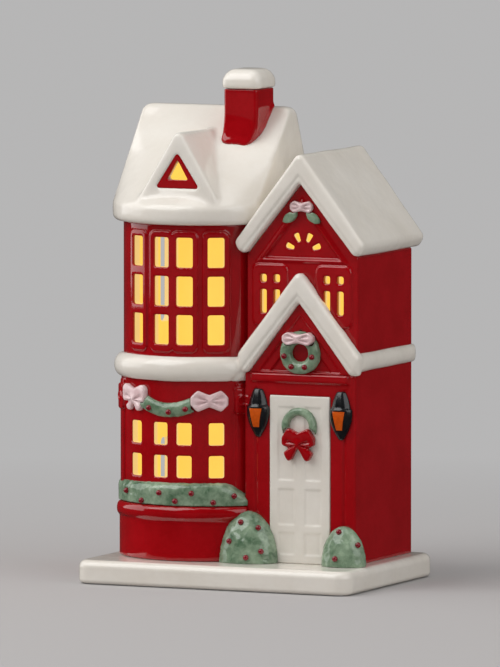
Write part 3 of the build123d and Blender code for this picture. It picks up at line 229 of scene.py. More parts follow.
# colour and strength of the painted lamp glow inside, and of the paler painted glow on the sides of the
# panes
PAINTED_GLOW_COLOUR = (1.0, 0.67, 0.12)
PAINTED_GLOW_STRENGTH = 0.72
PAINTED_REVEAL_COLOUR = (1.0, 0.72, 0.28)
PAINTED_REVEAL_STRENGTH = 0.6

# Light unit: plastics, plated steel and lamp lenses
PLASTICS = {
    "case_plastic": dict(deep=(0.74, 0.72, 0.67), thin=(0.82, 0.80, 0.76), rough=0.38, grain_scale=2500),
    "cell_wrap": dict(deep=(0.03, 0.035, 0.04), thin=(0.10, 0.11, 0.12), rough=0.2, grain_scale=1200),
    "circuit_board": dict(deep=(0.012, 0.09, 0.03), thin=(0.04, 0.19, 0.07), rough=0.3, grain_scale=1500),
}
PLASTIC_CLOUD_SCALE = 120
PLASTIC_ROUGH_SPREAD = 0.15
PLASTIC_BUMP_SHARE = 0.25
PLASTIC_GRAIN_HEIGHT = 0.0001
STEEL_DEEP = (0.52, 0.52, 0.53)
STEEL_THIN = (0.72, 0.72, 0.72)
STEEL_STRETCH_SHARES = (0.05, 1, 1)
STEEL_DRAWN_SCALE = 4000
STEEL_ROUGH_LOW = 0.22
STEEL_ROUGH_HIGH = 0.38
STEEL_BUMP_SHARE = 0.15
STEEL_DRAWN_HEIGHT = 0.0001
LENS_DEEP = (0.95, 0.76, 0.40)
LENS_THIN = (1.0, 0.88, 0.60)
LENS_CLOUD_SCALE = 500
LENS_HAZE_SCALE = 900
LENS_ROUGH_LOW = 0.08
LENS_ROUGH_HIGH = 0.2
LENS_LIGHT = (1.0, 0.72, 0.32)
LENS_STRENGTH = 3

# Soft boxes round the house, all facing its middle
LIGHT_AIM = (0, 0, 0.12)
LIGHTS = {
    "key": dict(place=(-0.85, -1.0, 1.5), width=1.5, height=1.5, power=21),
    "top_box": dict(place=(0, -0.1, 2.0), width=1.4, height=1.4, power=6.8),
    "right_fill": dict(place=(1.4, -0.3, 0.8), width=1.4, height=1.4, power=9.5),
    "left_box": dict(place=(-1.5, -0.2, 0.6), width=1.2, height=1.6, power=9.5),
}

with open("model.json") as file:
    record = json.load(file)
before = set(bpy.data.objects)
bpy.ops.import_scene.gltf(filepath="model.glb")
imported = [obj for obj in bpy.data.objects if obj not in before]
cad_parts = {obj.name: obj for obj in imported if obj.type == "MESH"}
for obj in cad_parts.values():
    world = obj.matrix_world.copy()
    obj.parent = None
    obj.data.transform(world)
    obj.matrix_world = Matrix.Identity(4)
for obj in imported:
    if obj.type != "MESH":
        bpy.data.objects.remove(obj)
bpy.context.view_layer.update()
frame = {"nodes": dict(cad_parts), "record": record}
nodes = frame["nodes"]
scene = bpy.context.scene


# Materials

def texture(tree, place, scale, detail, roughness=0.5, distortion=0.0):
    """Noise node read at the piece's own coordinates; scale is waves per metre."""
    node = tree.nodes.new("ShaderNodeTexNoise")
    node.inputs["Scale"].default_value = scale
    node.inputs["Detail"].default_value = detail
    node.inputs["Roughness"].default_value = roughness
    node.inputs["Distortion"].default_value = distortion
    tree.links.new(place, node.inputs["Vector"])
    return node.outputs["Fac"]


def spread(tree, value, low, high, to_low, to_high):
    """A value spread from one range to another, held at its ends."""
    node = tree.nodes.new("ShaderNodeMapRange")
    node.inputs["From Min"].default_value = low
    node.inputs["From Max"].default_value = high
    node.inputs["To Min"].default_value = to_low
    node.inputs["To Max"].default_value = to_high
    tree.links.new(value, node.inputs["Value"])
    return node.outputs["Result"]


def calculated(tree, operation, *values):
    """Sum, product and the like of node outputs and plain numbers."""
    node = tree.nodes.new("ShaderNodeMath")
    node.operation = operation
    for socket, value in zip(node.inputs, values):
        if isinstance(value, bpy.types.NodeSocket):
            tree.links.new(value, socket)
        else:
            socket.default_value = value
    return node.outputs["Value"]


def between(tree, share, deep, thin):
    """A colour between two others."""
    node = tree.nodes.new("ShaderNodeMix")
    node.data_type = "RGBA"
    node.inputs["A"].default_value = (*deep, 1)
    node.inputs["B"].default_value = (*thin, 1)
    tree.links.new(share, node.inputs["Factor"])
    return node.outputs["Result"]


def surface(name):
    """A new material, with its tree, its shader and the piece's own coordinates."""
    material = bpy.data.materials.new(name)
    material.use_nodes = True
    tree = material.node_tree
    place = tree.nodes.new("ShaderNodeTexCoord").outputs["Object"]
    return material, tree, tree.nodes["Principled BSDF"], place


def bumped(tree, shader, height, strength, distance):
    """Small relief in the shading."""
    bump = tree.nodes.new("ShaderNodeBump")
    bump.inputs["Strength"].default_value = strength
    bump.inputs["Distance"].default_value = distance
    tree.links.new(height, bump.inputs["Height"])
    tree.links.new(bump.outputs["Normal"], shader.inputs["Normal"])


def clouds(tree, value, low, high):
    """The middle part of a noise's range, spread over a range of values."""
    return spread(tree, value, CLOUD_LOW_SHARE, CLOUD_HIGH_SHARE, low, high)


def glaze(name, deep, thin, pool_scale, fleck_scale, fleck_share, rough, wobble):
    """Gloss glaze: colour that pools in broad clouds with finer flecks, over a slightly wavy surface."""
    material, tree, shader, place = surface(name)
    pool = clouds(tree, texture(tree, place, pool_scale, CLOUD_DETAIL), 0, 1 - fleck_share)
    specks = texture(tree, place, fleck_scale, FLECK_DETAIL, FLECK_ROUGH_SHARE, FLECK_TWIST_SHARE)
    fleck = spread(tree, specks, FLECK_LOW_SHARE, FLECK_HIGH_SHARE, 0, fleck_share)
    colour = between(tree, calculated(tree, "ADD", pool, fleck), deep, thin)
    tree.links.new(colour, shader.inputs["Base Color"])
    haze = texture(tree, place, fleck_scale, HAZE_DETAIL)
    tree.links.new(clouds(tree, haze, rough, GLOSS_SPREAD_SHARE * rough), shader.inputs["Roughness"])
    shader.inputs["Coat Weight"].default_value = COAT_SHARE
    shader.inputs["Coat Roughness"].default_value = COAT_ROUGH_SHARE * rough
    bumped(tree, shader, texture(tree, place, WOBBLE_SCALE, SMOOTH_DETAIL), WOBBLE_SHARE, wobble)
    return material


def painted_glow_inside(name, deep, thin, colour, strength):
    """Unglazed inner face with painted lamp light: an even emission stands in for the light of the lamps
    falling on it.
    """
    material, tree, shader, place = surface(name)
    pool = clouds(tree, texture(tree, place, BISQUE_POOL_SCALE, HAZE_DETAIL), 0, 1)
    tree.links.new(between(tree, pool, deep, thin), shader.inputs["Base Color"])
    grain = texture(tree, place, BISQUE_GRAIN_SCALE, CLOUD_DETAIL)
    tree.links.new(clouds(tree, grain, BISQUE_ROUGH_LOW, BISQUE_ROUGH_HIGH), shader.inputs["Roughness"])
    shader.inputs["Emission Color"].default_value = (*colour, 1)
    shader.inputs["Emission Strength"].default_value = strength
    bumped(tree, shader, grain, BISQUE_BUMP_SHARE, BISQUE_GRAIN_HEIGHT)
    return material


def moulded(name, deep, thin, rough, grain_scale):
    """Moulded plastic with a fine spark-eroded grain."""
    material, tree, shader, place = surface(name)
    cloud = clouds(tree, texture(tree, place, PLASTIC_CLOUD_SCALE, HAZE_DETAIL), 0, 1)
    tree.links.new(between(tree, cloud, deep, thin), shader.inputs["Base Color"])
    grain = texture(tree, place, grain_scale, CLOUD_DETAIL)
    tree.links.new(clouds(tree, grain, rough, rough + PLASTIC_ROUGH_SPREAD), shader.inputs["Roughness"])
    bumped(tree, shader, grain, PLASTIC_BUMP_SHARE, PLASTIC_GRAIN_HEIGHT)
    return material


def plated(name):
    """Plated steel, drawn along X."""
    material, tree, shader, place = surface(name)
    stretch = tree.nodes.new("ShaderNodeMapping")
    stretch.inputs["Scale"].default_value = STEEL_STRETCH_SHARES
    tree.links.new(place, stretch.inputs["Vector"])
    drawn = texture(tree, stretch.outputs["Vector"], STEEL_DRAWN_SCALE, CLOUD_DETAIL)
    colour = between(tree, clouds(tree, drawn, 0, 1), STEEL_DEEP, STEEL_THIN)
    tree.links.new(colour, shader.inputs["Base Color"])
    tree.links.new(clouds(tree, drawn, STEEL_ROUGH_LOW, STEEL_ROUGH_HIGH), shader.inputs["Roughness"])
    shader.inputs["Metallic"].default_value = 1
    bumped(tree, shader, drawn, STEEL_BUMP_SHARE, STEEL_DRAWN_HEIGHT)
    return material


def lens(name):
    """Clear warm lamp lens, lit from inside."""
    material, tree, shader, place = surface(name)
    cloud = clouds(tree, texture(tree, place, LENS_CLOUD_SCALE, CLOUD_DETAIL), 0, 1)
    tree.links.new(between(tree, cloud, LENS_DEEP, LENS_THIN), shader.inputs["Base Color"])
    haze = texture(tree, place, LENS_HAZE_SCALE, SMOOTH_DETAIL)
    tree.links.new(clouds(tree, haze, LENS_ROUGH_LOW, LENS_ROUGH_HIGH), shader.inputs["Roughness"])
    shader.inputs["Emission Color"].default_value = (*LENS_LIGHT, 1)
    shader.inputs["Emission Strength"].default_value = LENS_STRENGTH
    return material


materials = {name: glaze(name, **look) for name, look in GLAZES.items()}
for name, look in PLASTICS.items():
    materials[name] = moulded(name, **look)
materials["bright_steel"] = plated("bright_steel")
materials["led_lens"] = lens("led_lens")
# painted lamp glow: emission on the inner faces, and a paler one on the pane sides, stands in for the
# lamps' light
painted_inner_glow = painted_glow_inside("painted_inner_glow", BISQUE_DEEP, BISQUE_THIN, PAINTED_GLOW_COLOUR, PAINTED_GLOW_STRENGTH)
painted_reveal_glow = painted_glow_inside("painted_reveal_glow", BISQUE_DEEP, BISQUE_THIN, PAINTED_REVEAL_COLOUR, PAINTED_REVEAL_STRENGTH)


def paint_nodes():
    """Gives every carried-over node the material of its slot."""
    slots = {part["node"]: part["material_slot"] for part in frame["record"]["subparts"]}
    for name, piece in nodes.items():
        piece.data.materials.clear()
        piece.data.materials.append(materials[slots[name]])
    return slots


# Soft pieces

def bake(piece):
    """Applies a piece's modifiers to its mesh."""
    bpy.context.view_layer.update()
    seen = piece.evaluated_get(bpy.context.evaluated_depsgraph_get())
    baked = bpy.data.meshes.new_from_object(seen)
    piece.modifiers.clear()
    piece.data = baked


def soft_copy(names, voxel, rounds, keep_share, rises=(), give=None):
    """One copy of the named nodes, with the rounded edges and filled corners of a slip casting.

    Each of rises tells how far a place is raised in relief; give, how far it gives way to the rounding.
    """
    welded = bmesh.new()
    for name in names:
        welded.from_mesh(nodes[name].data)
    bmesh.ops.remove_doubles(welded, verts=welded.verts, dist=WELD)
    mesh = bpy.data.meshes.new("soft_" + names[0])
    welded.to_mesh(mesh)
    welded.free()
    piece = bpy.data.objects.new("soft_" + names[0], mesh)
    scene.collection.objects.link(piece)
    remesh = piece.modifiers.new("resample", "REMESH")
    remesh.mode = "VOXEL"
    remesh.voxel_size = voxel
    bake(piece)
    smooth = piece.modifiers.new("round", "SMOOTH")
    smooth.factor = SMOOTH_SHARE
    smooth.iterations = rounds
    if give:
        group = piece.vertex_groups.new(name="give")
        for point in piece.data.vertices:
            group.add([point.index], give(point.co), "REPLACE")
        smooth.vertex_group = group.name
    bake(piece)
    for rise in rises:
        sculpt(piece, rise)
    fewer = piece.modifiers.new("fewer", "DECIMATE")
    fewer.ratio = keep_share
    bake(piece)
    piece.vertex_groups.clear()
    piece.data.shade_smooth()
    slot = slots[names[0]]
    piece.data.materials.clear()
    piece.data.materials.append(materials[slot])
    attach(piece, "house")
    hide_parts(*names)
    return piece


def sculpt(piece, rise):
    """Raises each point of a piece along its own normal."""
    lifts = [rise(point.co) * point.normal for point in piece.data.vertices]
    for point, lift in zip(piece.data.vertices, lifts):
        point.co += lift


def lumps(height, scale):
    """Gentle unevenness."""
    return lambda place: height * noise.noise(place * scale)


def fade(value, start, end):
    """Smooth step from 0 at start to 1 at end."""
    share = min(max((value - start) / (end - start), 0), 1)
    return share * share * (3 - 2 * share)


def hill(value, width):
    """Bell curve."""
    return math.exp(-((value / width) ** 2))


def bow_turn(point):
    """Angle of a point round the bow's axis, from straight ahead."""
    return math.atan2(point.x - BOW_X, BOW_Y - point.y)


def depth_in_wall(point):
    """How far a point lies inside the outer skin of the house walls.

    In a column of panes it is measured behind a flat front, so that the glaze can end in a straight line.
    """
    sides = [point.x + HOUSE_SIDE, HOUSE_SIDE - point.x, HOUSE_BACK - point.y]
    upstairs = point.z > STOREY_TOP
    radius = UPPER_BOW_RADIUS if upstairs else LOWER_BOW_RADIUS
    wing_front = WING_FRONT if upstairs else PORCH_FRONT
    if point.x < BLOCK_RIGHT and point.y < BOW_Y:
        reach = math.hypot(point.x - BOW_X, point.y - BOW_Y)
        aside = min(abs(bow_turn(point) - column) for column in PANE_TURNS)
        if aside < PANE_REACH:
            reach *= math.cos(aside)
        sides.append(radius - reach)
    if point.x > BLOCK_RIGHT:
        sides.append(point.y - wing_front)
        if math.hypot(point.x - BOW_X, point.y - BOW_Y) > radius:
            sides.append(point.x - BLOCK_RIGHT)
    return min(sides)


def cut_faces(shape, chosen, spot, out):
    """Cuts the chosen faces along a plane."""
    faces = [face for face in shape.faces if chosen(face.calc_center_median())]
    parts = set(faces)
    for face in faces:
        parts.update(face.edges)
        parts.update(face.verts)
    bmesh.ops.bisect_plane(shape, geom=list(parts), dist=WELD, plane_co=spot, plane_no=out)


def in_column(column, upstairs):
    """Tells the places of the bow that lie in one column of panes, on one storey."""
    def chosen(place):
        ahead = place.x < BLOCK_RIGHT and place.y < BOW_Y
        same_storey = (place.z > STOREY_TOP) == upstairs
        return ahead and same_storey and abs(bow_turn(place) - column) < PANE_REACH

    return chosen


def in_gable(place):
    """Tells the places of the wing's upper storey."""
    return place.x > BLOCK_RIGHT and place.z > STOREY_TOP


def cut_reveals(piece):
    """Cuts the sides of the panes where the glaze ends and where the painted lamp glow of the inside
    begins.
    """
    shape = bmesh.new()
    shape.from_mesh(piece.data)
    axis = Vector((BOW_X, BOW_Y, 0))
    for column in PANE_TURNS:
        out = Vector((math.sin(column), -math.cos(column), 0))
        for upstairs, radius in ((False, LOWER_BOW_RADIUS), (True, UPPER_BOW_RADIUS)):
            for depth in (SKIN, WALL - INSIDE_GAP):
                cut_faces(shape, in_column(column, upstairs), axis + (radius - depth) * out, out)
    ahead = Vector((0, -1, 0))
    for depth in (WING_SKIN, WALL - INSIDE_GAP):
        cut_faces(shape, in_gable, Vector((0, WING_FRONT + depth, 0)), ahead)
    shape.to_mesh(piece.data)
    shape.free()


def paint_glow_in_walls(piece):
    """Paints lamp glow on the faces inside a wall, and a paler painted glow on the sides of its window
    openings.
    """
    piece.data.materials.append(painted_reveal_glow)
    piece.data.materials.append(painted_inner_glow)
    for polygon in piece.data.polygons:
        depth = depth_in_wall(polygon.center)
        skin = SKIN
        if polygon.center.x > BLOCK_RIGHT:
            skin = WING_SKIN
        elif polygon.center.x < WALL - HOUSE_SIDE:
            skin = SLOT_SKIN
        # inner faces get the painted lamp glow, the sides of the openings the paler painted glow
        if depth > WALL - INSIDE_GAP:
            polygon.material_index = 2
        elif depth > skin:
            polygon.material_index = 1


def search_tree(piece):
    """The faces of a piece, for finding the nearest one or what a ray meets."""
    points = [point.co for point in piece.data.vertices]
    return BVHTree.FromPolygons(points, [polygon.vertices for polygon in piece.data.polygons])


def paint_glow_under_roof(piece):
    """Paints lamp glow on the hollow under a roof: inside the walls, with the roof overhead."""
    piece.data.materials.append(painted_inner_glow)
    tree = search_tree(piece)
    up = Vector((0, 0, 1))
    dormer_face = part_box("dormer")[0].y + DORMER_FACE
    for polygon in piece.data.polygons:
        spot = polygon.center
        behind = spot.y > dormer_face and spot.x < BLOCK_RIGHT - RELIEF_SKIN
        inside = behind and depth_in_wall(spot) > RELIEF_SKIN
        if inside and tree.ray_cast(spot + INSIDE_GAP * up, up)[0]:
            # faces inside, with the roof overhead, get the painted lamp glow
            polygon.material_index = 1


def beyond_triangle(place, middle, half, low, apex):
    """How far a place lies outside an upright triangle seen from the front; negative inside it."""
    rise = apex - low
    side = (abs(place.x - middle) * rise + (place.z - apex) * half) / math.hypot(rise, half)
    return max(side, low - place.z)


def roof_give():
    """Roof and dormer run softly together, but the seat of the dormer's red frame keeps its shape."""
    low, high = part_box("dormer")
    seat_low, seat_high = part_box("dormer_frame")
    half = (seat_high.x - seat_low.x) / 2

    def give(place):
        beside = max(low.x - place.x, place.x - high.x, low.z - place.z, place.z - high.z)
        share = ROOF_GIVE_SHARE + (1 - ROOF_GIVE_SHARE) * (1 - fade(beside, 0, DORMER_MARGIN))
        beyond = beyond_triangle(place, seat_low.x + half, half, seat_low.z, seat_high.z)
        if place.y < low.y + DORMER_FACE:
            share = FRAME_GIVE_SHARE + (share - FRAME_GIVE_SHARE) * fade(beyond, 0, FRAME_MARGIN)
        return share

    return give


def gable_bead(place):
    """Bead round the sunk panel in the gable of the wing."""
    if place.x < BLOCK_RIGHT or place.y > WING_FRONT + RELIEF_SKIN:
        return 0
    beyond = beyond_triangle(place, PANEL_MIDDLE, PANEL_HALF, PANEL_LOW, PANEL_APEX)
    return BEAD_PROUD * hill(beyond - BEAD_OUT, BEAD_WIDTH)


def porch_lines(place):
    """Upright grooves that set off the corners of the porch front."""
    if place.x < BLOCK_RIGHT or place.y > PORCH_FRONT + RELIEF_SKIN or place.z > PORCH_LINE_TOP:
        return 0
    across = abs(place.x - PANEL_MIDDLE) - PORCH_LINE_OFFSET
    return -PORCH_LINE_DEPTH * hill(across, PORCH_LINE_WIDTH)


def band_line(node, triangle):
    """Shallow line along the inner edge of a snow band."""
    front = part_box(node)[0].y

    def rise(place):
        if abs(place.y - front) > BAND_FACE:
            return 0
        beyond = beyond_triangle(place, *triangle)
        return -BAND_LINE_DEPTH * hill(beyond - BAND_LINE_OUT, BAND_LINE_WIDTH)

    return rise


def round_foot(piece):
    """Rounds the lower corners of the chimney's front, whose foot falls to the right."""
    low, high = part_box("chimney")
    middle = (low.x + high.x) / 2
    half = (high.x - low.x) / 2
    for point in piece.data.vertices:
        radius = FOOT_RIGHT_RADIUS if point.co.x > middle else FOOT_LEFT_RADIUS
        foot = low.z + FOOT_SLOPE_SHARE * (high.x - point.co.x)
        below = min(max(radius - (point.co.z - foot), 0), radius)
        inset = radius - math.sqrt(radius ** 2 - below ** 2)
        point.co.x = middle + (point.co.x - middle) * (1 - inset / half)


def slide_foot(piece, ground):
    """Slides the left of the chimney's foot down the slope, so that the foot runs nearly level."""
    tree = search_tree(ground)
    low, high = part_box("chimney")
    for point in piece.data.vertices:
        near = 1 - fade(tree.find_nearest(point.co)[3], 0, SLIDE_HEIGHT)
        front = 1 - fade(point.co.y - low.y, 0, SLIDE_DEPTH)
        drop = SLIDE_SHARE * FOOT_SLOPE_SHARE * (high.x - point.co.x) * near * front
        point.co.z -= drop
        point.co.y -= drop / ROOF_SLOPE_SHARE


def dome(piece, node, drop):
    """Lets the top of a piece fall away to its corners."""
    low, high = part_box(node)
    middle = (low + high) / 2
    half = (high - low) / 2
    for point in piece.data.vertices:
        side = ((point.co.x - middle.x) / half.x) ** DOME_POWER
        front = ((point.co.y - middle.y) / half.y) ** DOME_POWER
        point.co.z -= drop * (side + front) / 2 * (point.co.z - low.z) / (high.z - low.z)


def rosettes(place):
    """Ring in relief on the corner block at each end of the bow."""
    across = LOWER_BOW_RADIUS * (abs(bow_turn(place)) - ROSETTE_ANGLE)
    reach = math.hypot(place.x - BOW_X, place.y - BOW_Y)
    if reach < LOWER_BOW_RADIUS - RELIEF_SKIN or place.z > STOREY_TOP:
        return 0
    ring = math.hypot(across, place.z - ROSETTE_LEVEL) - ROSETTE_RADIUS
    return ROSETTE_PROUD * hill(ring, ROSETTE_LINE)


def tie(centre, turn, half):
    """Folds that run from the knot of a ribbon into its loops."""
    across = Vector((math.cos(turn), math.sin(turn), 0))

    def rise(place):
        side = (place - centre).dot(across)
        up = place.z - centre.z
        reach = math.hypot(side, up)
        angle = math.atan2(up, abs(side))
        fold = hill(abs(angle) - CREASE_ANGLE, CREASE_SPREAD) * fade(half - reach, 0, half / 2)
        return KNOT_PROUD * hill(reach, KNOT_RADIUS) - CREASE_DEPTH * fold * fade(reach, 0, KNOT_RADIUS)

    return rise


def round_loops(piece, centre, turn, half):
    """Rounds the outer corners of a ribbon's loops."""
    across = Vector((math.cos(turn), math.sin(turn), 0))
    for point in piece.data.vertices:
        share = abs((point.co - centre).dot(across)) / half
        if share < 1:
            narrow = LOOP_ROUND_SHARE * fade(share, LOOP_ROUND_FROM_SHARE, 1)
            point.co.z = centre.z + (point.co.z - centre.z) * (1 - narrow)


def garland_knots():
    """Middle, turn and half width of each of the two ribbons that hang on the bowed front."""
    low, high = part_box("garland_ribbons")
    middle = (low.x + high.x) / 2
    knots = []
    for right in (False, True):
        points = [p.co for p in nodes["garland_ribbons"].data.vertices if (p.co.x > middle) == right]
        centre = sum(points, Vector()) / len(points)
        turn = bow_turn(centre)
        across = Vector((math.cos(turn), math.sin(turn), 0))
        knots.append((centre, turn, max(abs((p - centre).dot(across)) for p in points)))
    return knots


def shape_lanterns(piece):
    """Gives each lantern its narrower ribbed cap."""
    low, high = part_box("lanterns")
    middle = (low.x + high.x) / 2
    sides = [[p for p in piece.data.vertices if (p.co.x > middle) == right] for right in (False, True)]
    for points in sides:
        axis = sum(p.co.x for p in points) / len(points)
        for point in points:
            place = point.co
            share = (place.z - low.z) / (high.z - low.z)
            cap = fade(share, CAP_FROM_SHARE, CAP_FROM_SHARE + CAP_STEP_SHARE)
            angle = math.atan2(place.x - axis, PORCH_FRONT - place.y)
            width = 1 - cap * (CAP_NARROW_SHARE + CAP_RIB_SHARE * math.cos(CAP_RIBS * angle))
            place.x = axis + width * (place.x - axis)
            place.y = PORCH_FRONT + width * (place.y - PORCH_FRONT)


def flare(piece, ground, height, reach):
    """Spreads the foot of a piece where it runs onto another."""
    tree = search_tree(ground)

    def rise(place):
        gap = tree.find_nearest(place)[3]
        return reach * (1 - fade(gap, 0, height))

    sculpt(piece, rise)


def taper_greenery(piece):
    """Lets the greenery sink towards its right end."""
    low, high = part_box("planter_greenery")
    for point in piece.data.vertices:
        share = fade(point.co.x, high.x - GREENERY_TAPER_LENGTH, high.x)
        point.co.z = low.z + (point.co.z - low.z) * (1 - GREENERY_TAPER_SHARE * share)


slots = paint_nodes()
walls = soft_copy(["lower_walls", "upper_walls"], **SOFT_WALLS, rises=[rosettes, gable_bead, porch_lines])
cut_reveals(walls)
# painted lamp glow inside the walls and on the sides of the panes
paint_glow_in_walls(walls)

# Snow
main_roof = soft_copy(["main_roof", "dormer"], **SOFT_MAIN_ROOF, give=roof_give())
# painted lamp glow on the underside of the roof
paint_glow_under_roof(main_roof)
snow_lumps = lumps(SNOW_LUMP, SNOW_LUMP_SCALE)
gable_relief = [snow_lumps, band_line("wing_roof", GABLE_TRIANGLE)]
soft_copy(["wing_roof"], **SOFT_WING_ROOF, rises=gable_relief)
porch_relief = [snow_lumps, band_line("porch_snow", CHEVRON_TRIANGLE)]
soft_copy(["porch_snow", "bow_ledge", "side_ledge"], **SOFT_PORCH_SNOW, rises=porch_relief)
dome(soft_copy(["chimney_cap"], **SOFT_CAP), "chimney_cap", CAP_DOME)
soft_copy(["door"], **SOFT_DOOR)

# Red pieces
chimney = soft_copy(["chimney"], **SOFT_CHIMNEY)
round_foot(chimney)
slide_foot(chimney, main_roof)
flare(chimney, main_roof, CHIMNEY_FLARE_HEIGHT, CHIMNEY_FLARE)
soft_copy(["porch_panel"], **SOFT_PANEL)
soft_copy(["planter_trough"], **SOFT_TROUGH)
soft_copy(["dormer_frame"], **SOFT_FRAME)

# Greenery
leaf_lumps = lumps(LEAF_LUMP, LEAF_LUMP_SCALE)
for node in ("left_bush", "right_bush", "garland", "porch_wreath", "door_wreath", "gable_leaves"):
    soft_copy([node], **SOFT_GREENS, rises=[leaf_lumps])
taper_greenery(soft_copy(["planter_greenery"], **SOFT_PLANTER, rises=[leaf_lumps]))

# Ribbons
for node in ("porch_ribbon", "gable_ribbon", "door_ribbon"):
    low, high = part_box(node)
    knot = ((low + high) / 2, 0, (high.x - low.x) / 2)
    round_loops(soft_copy([node], **SOFT_RIBBON, rises=[tie(*knot)]), *knot)
left_knot, right_knot = garland_knots()
garland_folds = [tie(*left_knot), tie(*right_knot)]
garland_ribbons = soft_copy(["garland_ribbons"], **SOFT_RIBBON, rises=garland_folds)
round_loops(garland_ribbons, *right_knot)

# Lanterns
shape_lanterns(soft_copy(["lanterns"], **SOFT_LANTERN))


# Stage, light and camera

def make_stage():
    """Floor and backdrop in one sweep."""
    profile = [(STAGE_FRONT, 0)]
    for step in range(STAGE_STEPS + 1):
        angle = math.pi / 2 * step / STAGE_STEPS
        profile.append((
            STAGE_BACK + STAGE_CURVE * math.sin(angle),
            STAGE_CURVE * (1 - math.cos(angle)),
        ))
    profile.append((STAGE_BACK + STAGE_CURVE, STAGE_TOP))
    shape = bmesh.new()
    rows = []
    for y, z in profile:
        rows.append([shape.verts.new((side * STAGE_HALF, y, z)) for side in (-1, 1)])
    for low, high in zip(rows, rows[1:]):
        shape.faces.new((low[0], low[1], high[1], high[0]))
    mesh = bpy.data.meshes.new("stage")
    shape.to_mesh(mesh)
    shape.free()
    mesh.shade_smooth()
    stage = bpy.data.objects.new("stage", mesh)
    scene.collection.objects.link(stage)
    turn = Matrix.Rotation(CAMERA_TURN, 4, "Z")
    stage.matrix_world = Matrix.Translation((0, 0, -STAGE_GAP)) @ turn
    stage.data.materials.append(stage_material())


def stage_material():
    """Pale matt paper: evened out towards the back, dim in mirrors, unseen from behind and below."""
    material = bpy.data.materials.new("stage_paper")
    material.use_nodes = True
    tree = material.node_tree
    tree.nodes.clear()
    output = tree.nodes.new("ShaderNodeOutputMaterial")
    paper = tree.nodes.new("ShaderNodeBsdfDiffuse")
    paper.inputs["Color"].default_value = (*FLOOR_TONE, 1)
    even = tree.nodes.new("ShaderNodeEmission")
    even.inputs["Color"].default_value = (*STAGE_TONE, 1)
    dim = tree.nodes.new("ShaderNodeEmission")
    dim.inputs["Color"].default_value = (*STAGE_TONE, 1)
    path = tree.nodes.new("ShaderNodeLightPath")
    place = tree.nodes.new("ShaderNodeSeparateXYZ")
    tree.links.new(tree.nodes.new("ShaderNodeTexCoord").outputs["Object"], place.inputs["Vector"])
    mirrored_light = spread(
        tree, place.outputs["Y"], FRONT_FROM, FRONT_TO, FRONT_MIRRORED_SHARE, STAGE_MIRRORED_SHARE
    )
    tree.links.new(mirrored_light, dim.inputs["Strength"])
    own = spread(
        tree, place.outputs["Y"], EVEN_FROM, EVEN_TO, FLOOR_OWN_LIGHT_SHARE, BACKDROP_OWN_LIGHT_SHARE
    )
    seen = tree.nodes.new("ShaderNodeMixShader")
    tree.links.new(calculated(tree, "MULTIPLY", path.outputs["Is Camera Ray"], own), seen.inputs["Fac"])
    tree.links.new(paper.outputs["BSDF"], seen.inputs[1])
    tree.links.new(even.outputs["Emission"], seen.inputs[2])
    mirrored = tree.nodes.new("ShaderNodeMixShader")
    tree.links.new(path.outputs["Is Glossy Ray"], mirrored.inputs["Fac"])
    tree.links.new(seen.outputs["Shader"], mirrored.inputs[1])
    tree.links.new(dim.outputs["Emission"], mirrored.inputs[2])
    opening = tree.nodes.new("ShaderNodeMixShader")
    tree.links.new(stage_opening(tree), opening.inputs["Fac"])
    tree.links.new(mirrored.outputs["Shader"], opening.inputs[1])
    tree.links.new(tree.nodes.new("ShaderNodeBsdfTransparent").outputs["BSDF"], opening.inputs[2])
    tree.links.new(opening.outputs["Shader"], output.inputs["Surface"])
    return material


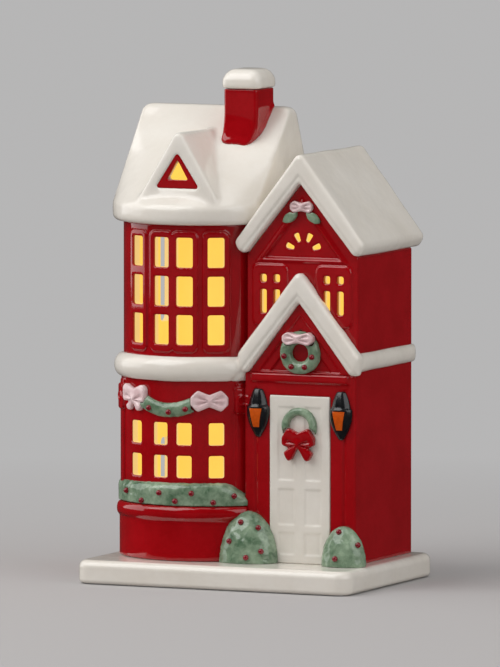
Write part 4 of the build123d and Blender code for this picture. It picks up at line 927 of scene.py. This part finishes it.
def stage_opening(tree):
    """Where the stage lets light through: its back, and under the base, so that the underside is lit."""
    spot = tree.nodes.new("ShaderNodeNewGeometry")
    place = tree.nodes.new("ShaderNodeSeparateXYZ")
    tree.links.new(spot.outputs["Position"], place.inputs["Vector"])
    reaches = [calculated(tree, "ABSOLUTE", place.outputs[axis]) for axis in ("X", "Y")]
    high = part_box("base_slab")[1]
    inside = [
        calculated(tree, "LESS_THAN", reach, edge - STAGE_UNDER_EDGE)
        for reach, edge in zip(reaches, (high.x, high.y))
    ]
    under = calculated(tree, "MULTIPLY", *inside)
    return calculated(tree, "MAXIMUM", spot.outputs["Backfacing"], under)


def make_world():
    """Even studio light all round, dim in mirrors."""
    world = bpy.data.worlds.new("studio")
    world.use_nodes = True
    scene.world = world
    tree = world.node_tree
    background = tree.nodes["Background"]
    background.inputs["Color"].default_value = (*WORLD_TONE, 1)
    path = tree.nodes.new("ShaderNodeLightPath")
    strength = spread(tree, path.outputs["Is Glossy Ray"], 0, 1, 1, WORLD_MIRRORED_SHARE)
    tree.links.new(strength, background.inputs["Strength"])


def add_light(name, place, width, height, power):
    """Soft box facing the middle of the house."""
    light = bpy.data.lights.new(name, "AREA")
    light.shape = "RECTANGLE"
    light.size = width
    light.size_y = height
    light.energy = power
    lamp = bpy.data.objects.new(name, light)
    scene.collection.objects.link(lamp)
    lamp.location = place
    lamp.rotation_euler = (Vector(LIGHT_AIM) - Vector(place)).to_track_quat("-Z", "Y").to_euler()


def make_camera():
    """Camera that looks at the house from the front, a little from the right and from above."""
    back = Vector((
        math.sin(CAMERA_TURN) * math.cos(CAMERA_LIFT),
        -math.cos(CAMERA_TURN) * math.cos(CAMERA_LIFT),
        math.sin(CAMERA_LIFT),
    ))
    right = Vector((math.cos(CAMERA_TURN), math.sin(CAMERA_TURN), 0))
    up = back.cross(right)
    lens_data = bpy.data.cameras.new("camera")
    lens_data.sensor_width = CAMERA_SENSOR
    lens_data.lens = CAMERA_LENS
    lens_data.clip_end = CAMERA_CLIP_SHARE * CAMERA_DISTANCE
    camera = bpy.data.objects.new("camera", lens_data)
    scene.collection.objects.link(camera)
    place = Vector(CAMERA_TARGET) + CAMERA_DISTANCE * back + CAMERA_RIGHT * right + CAMERA_UP * up
    turn = Matrix((right, up, back)).transposed()
    camera.matrix_world = Matrix.Translation(place) @ turn.to_4x4()
    scene.camera = camera


make_stage()
make_world()
for name, light in LIGHTS.items():
    add_light(name, **light)
make_camera()
scene.view_settings.view_transform = "Standard"
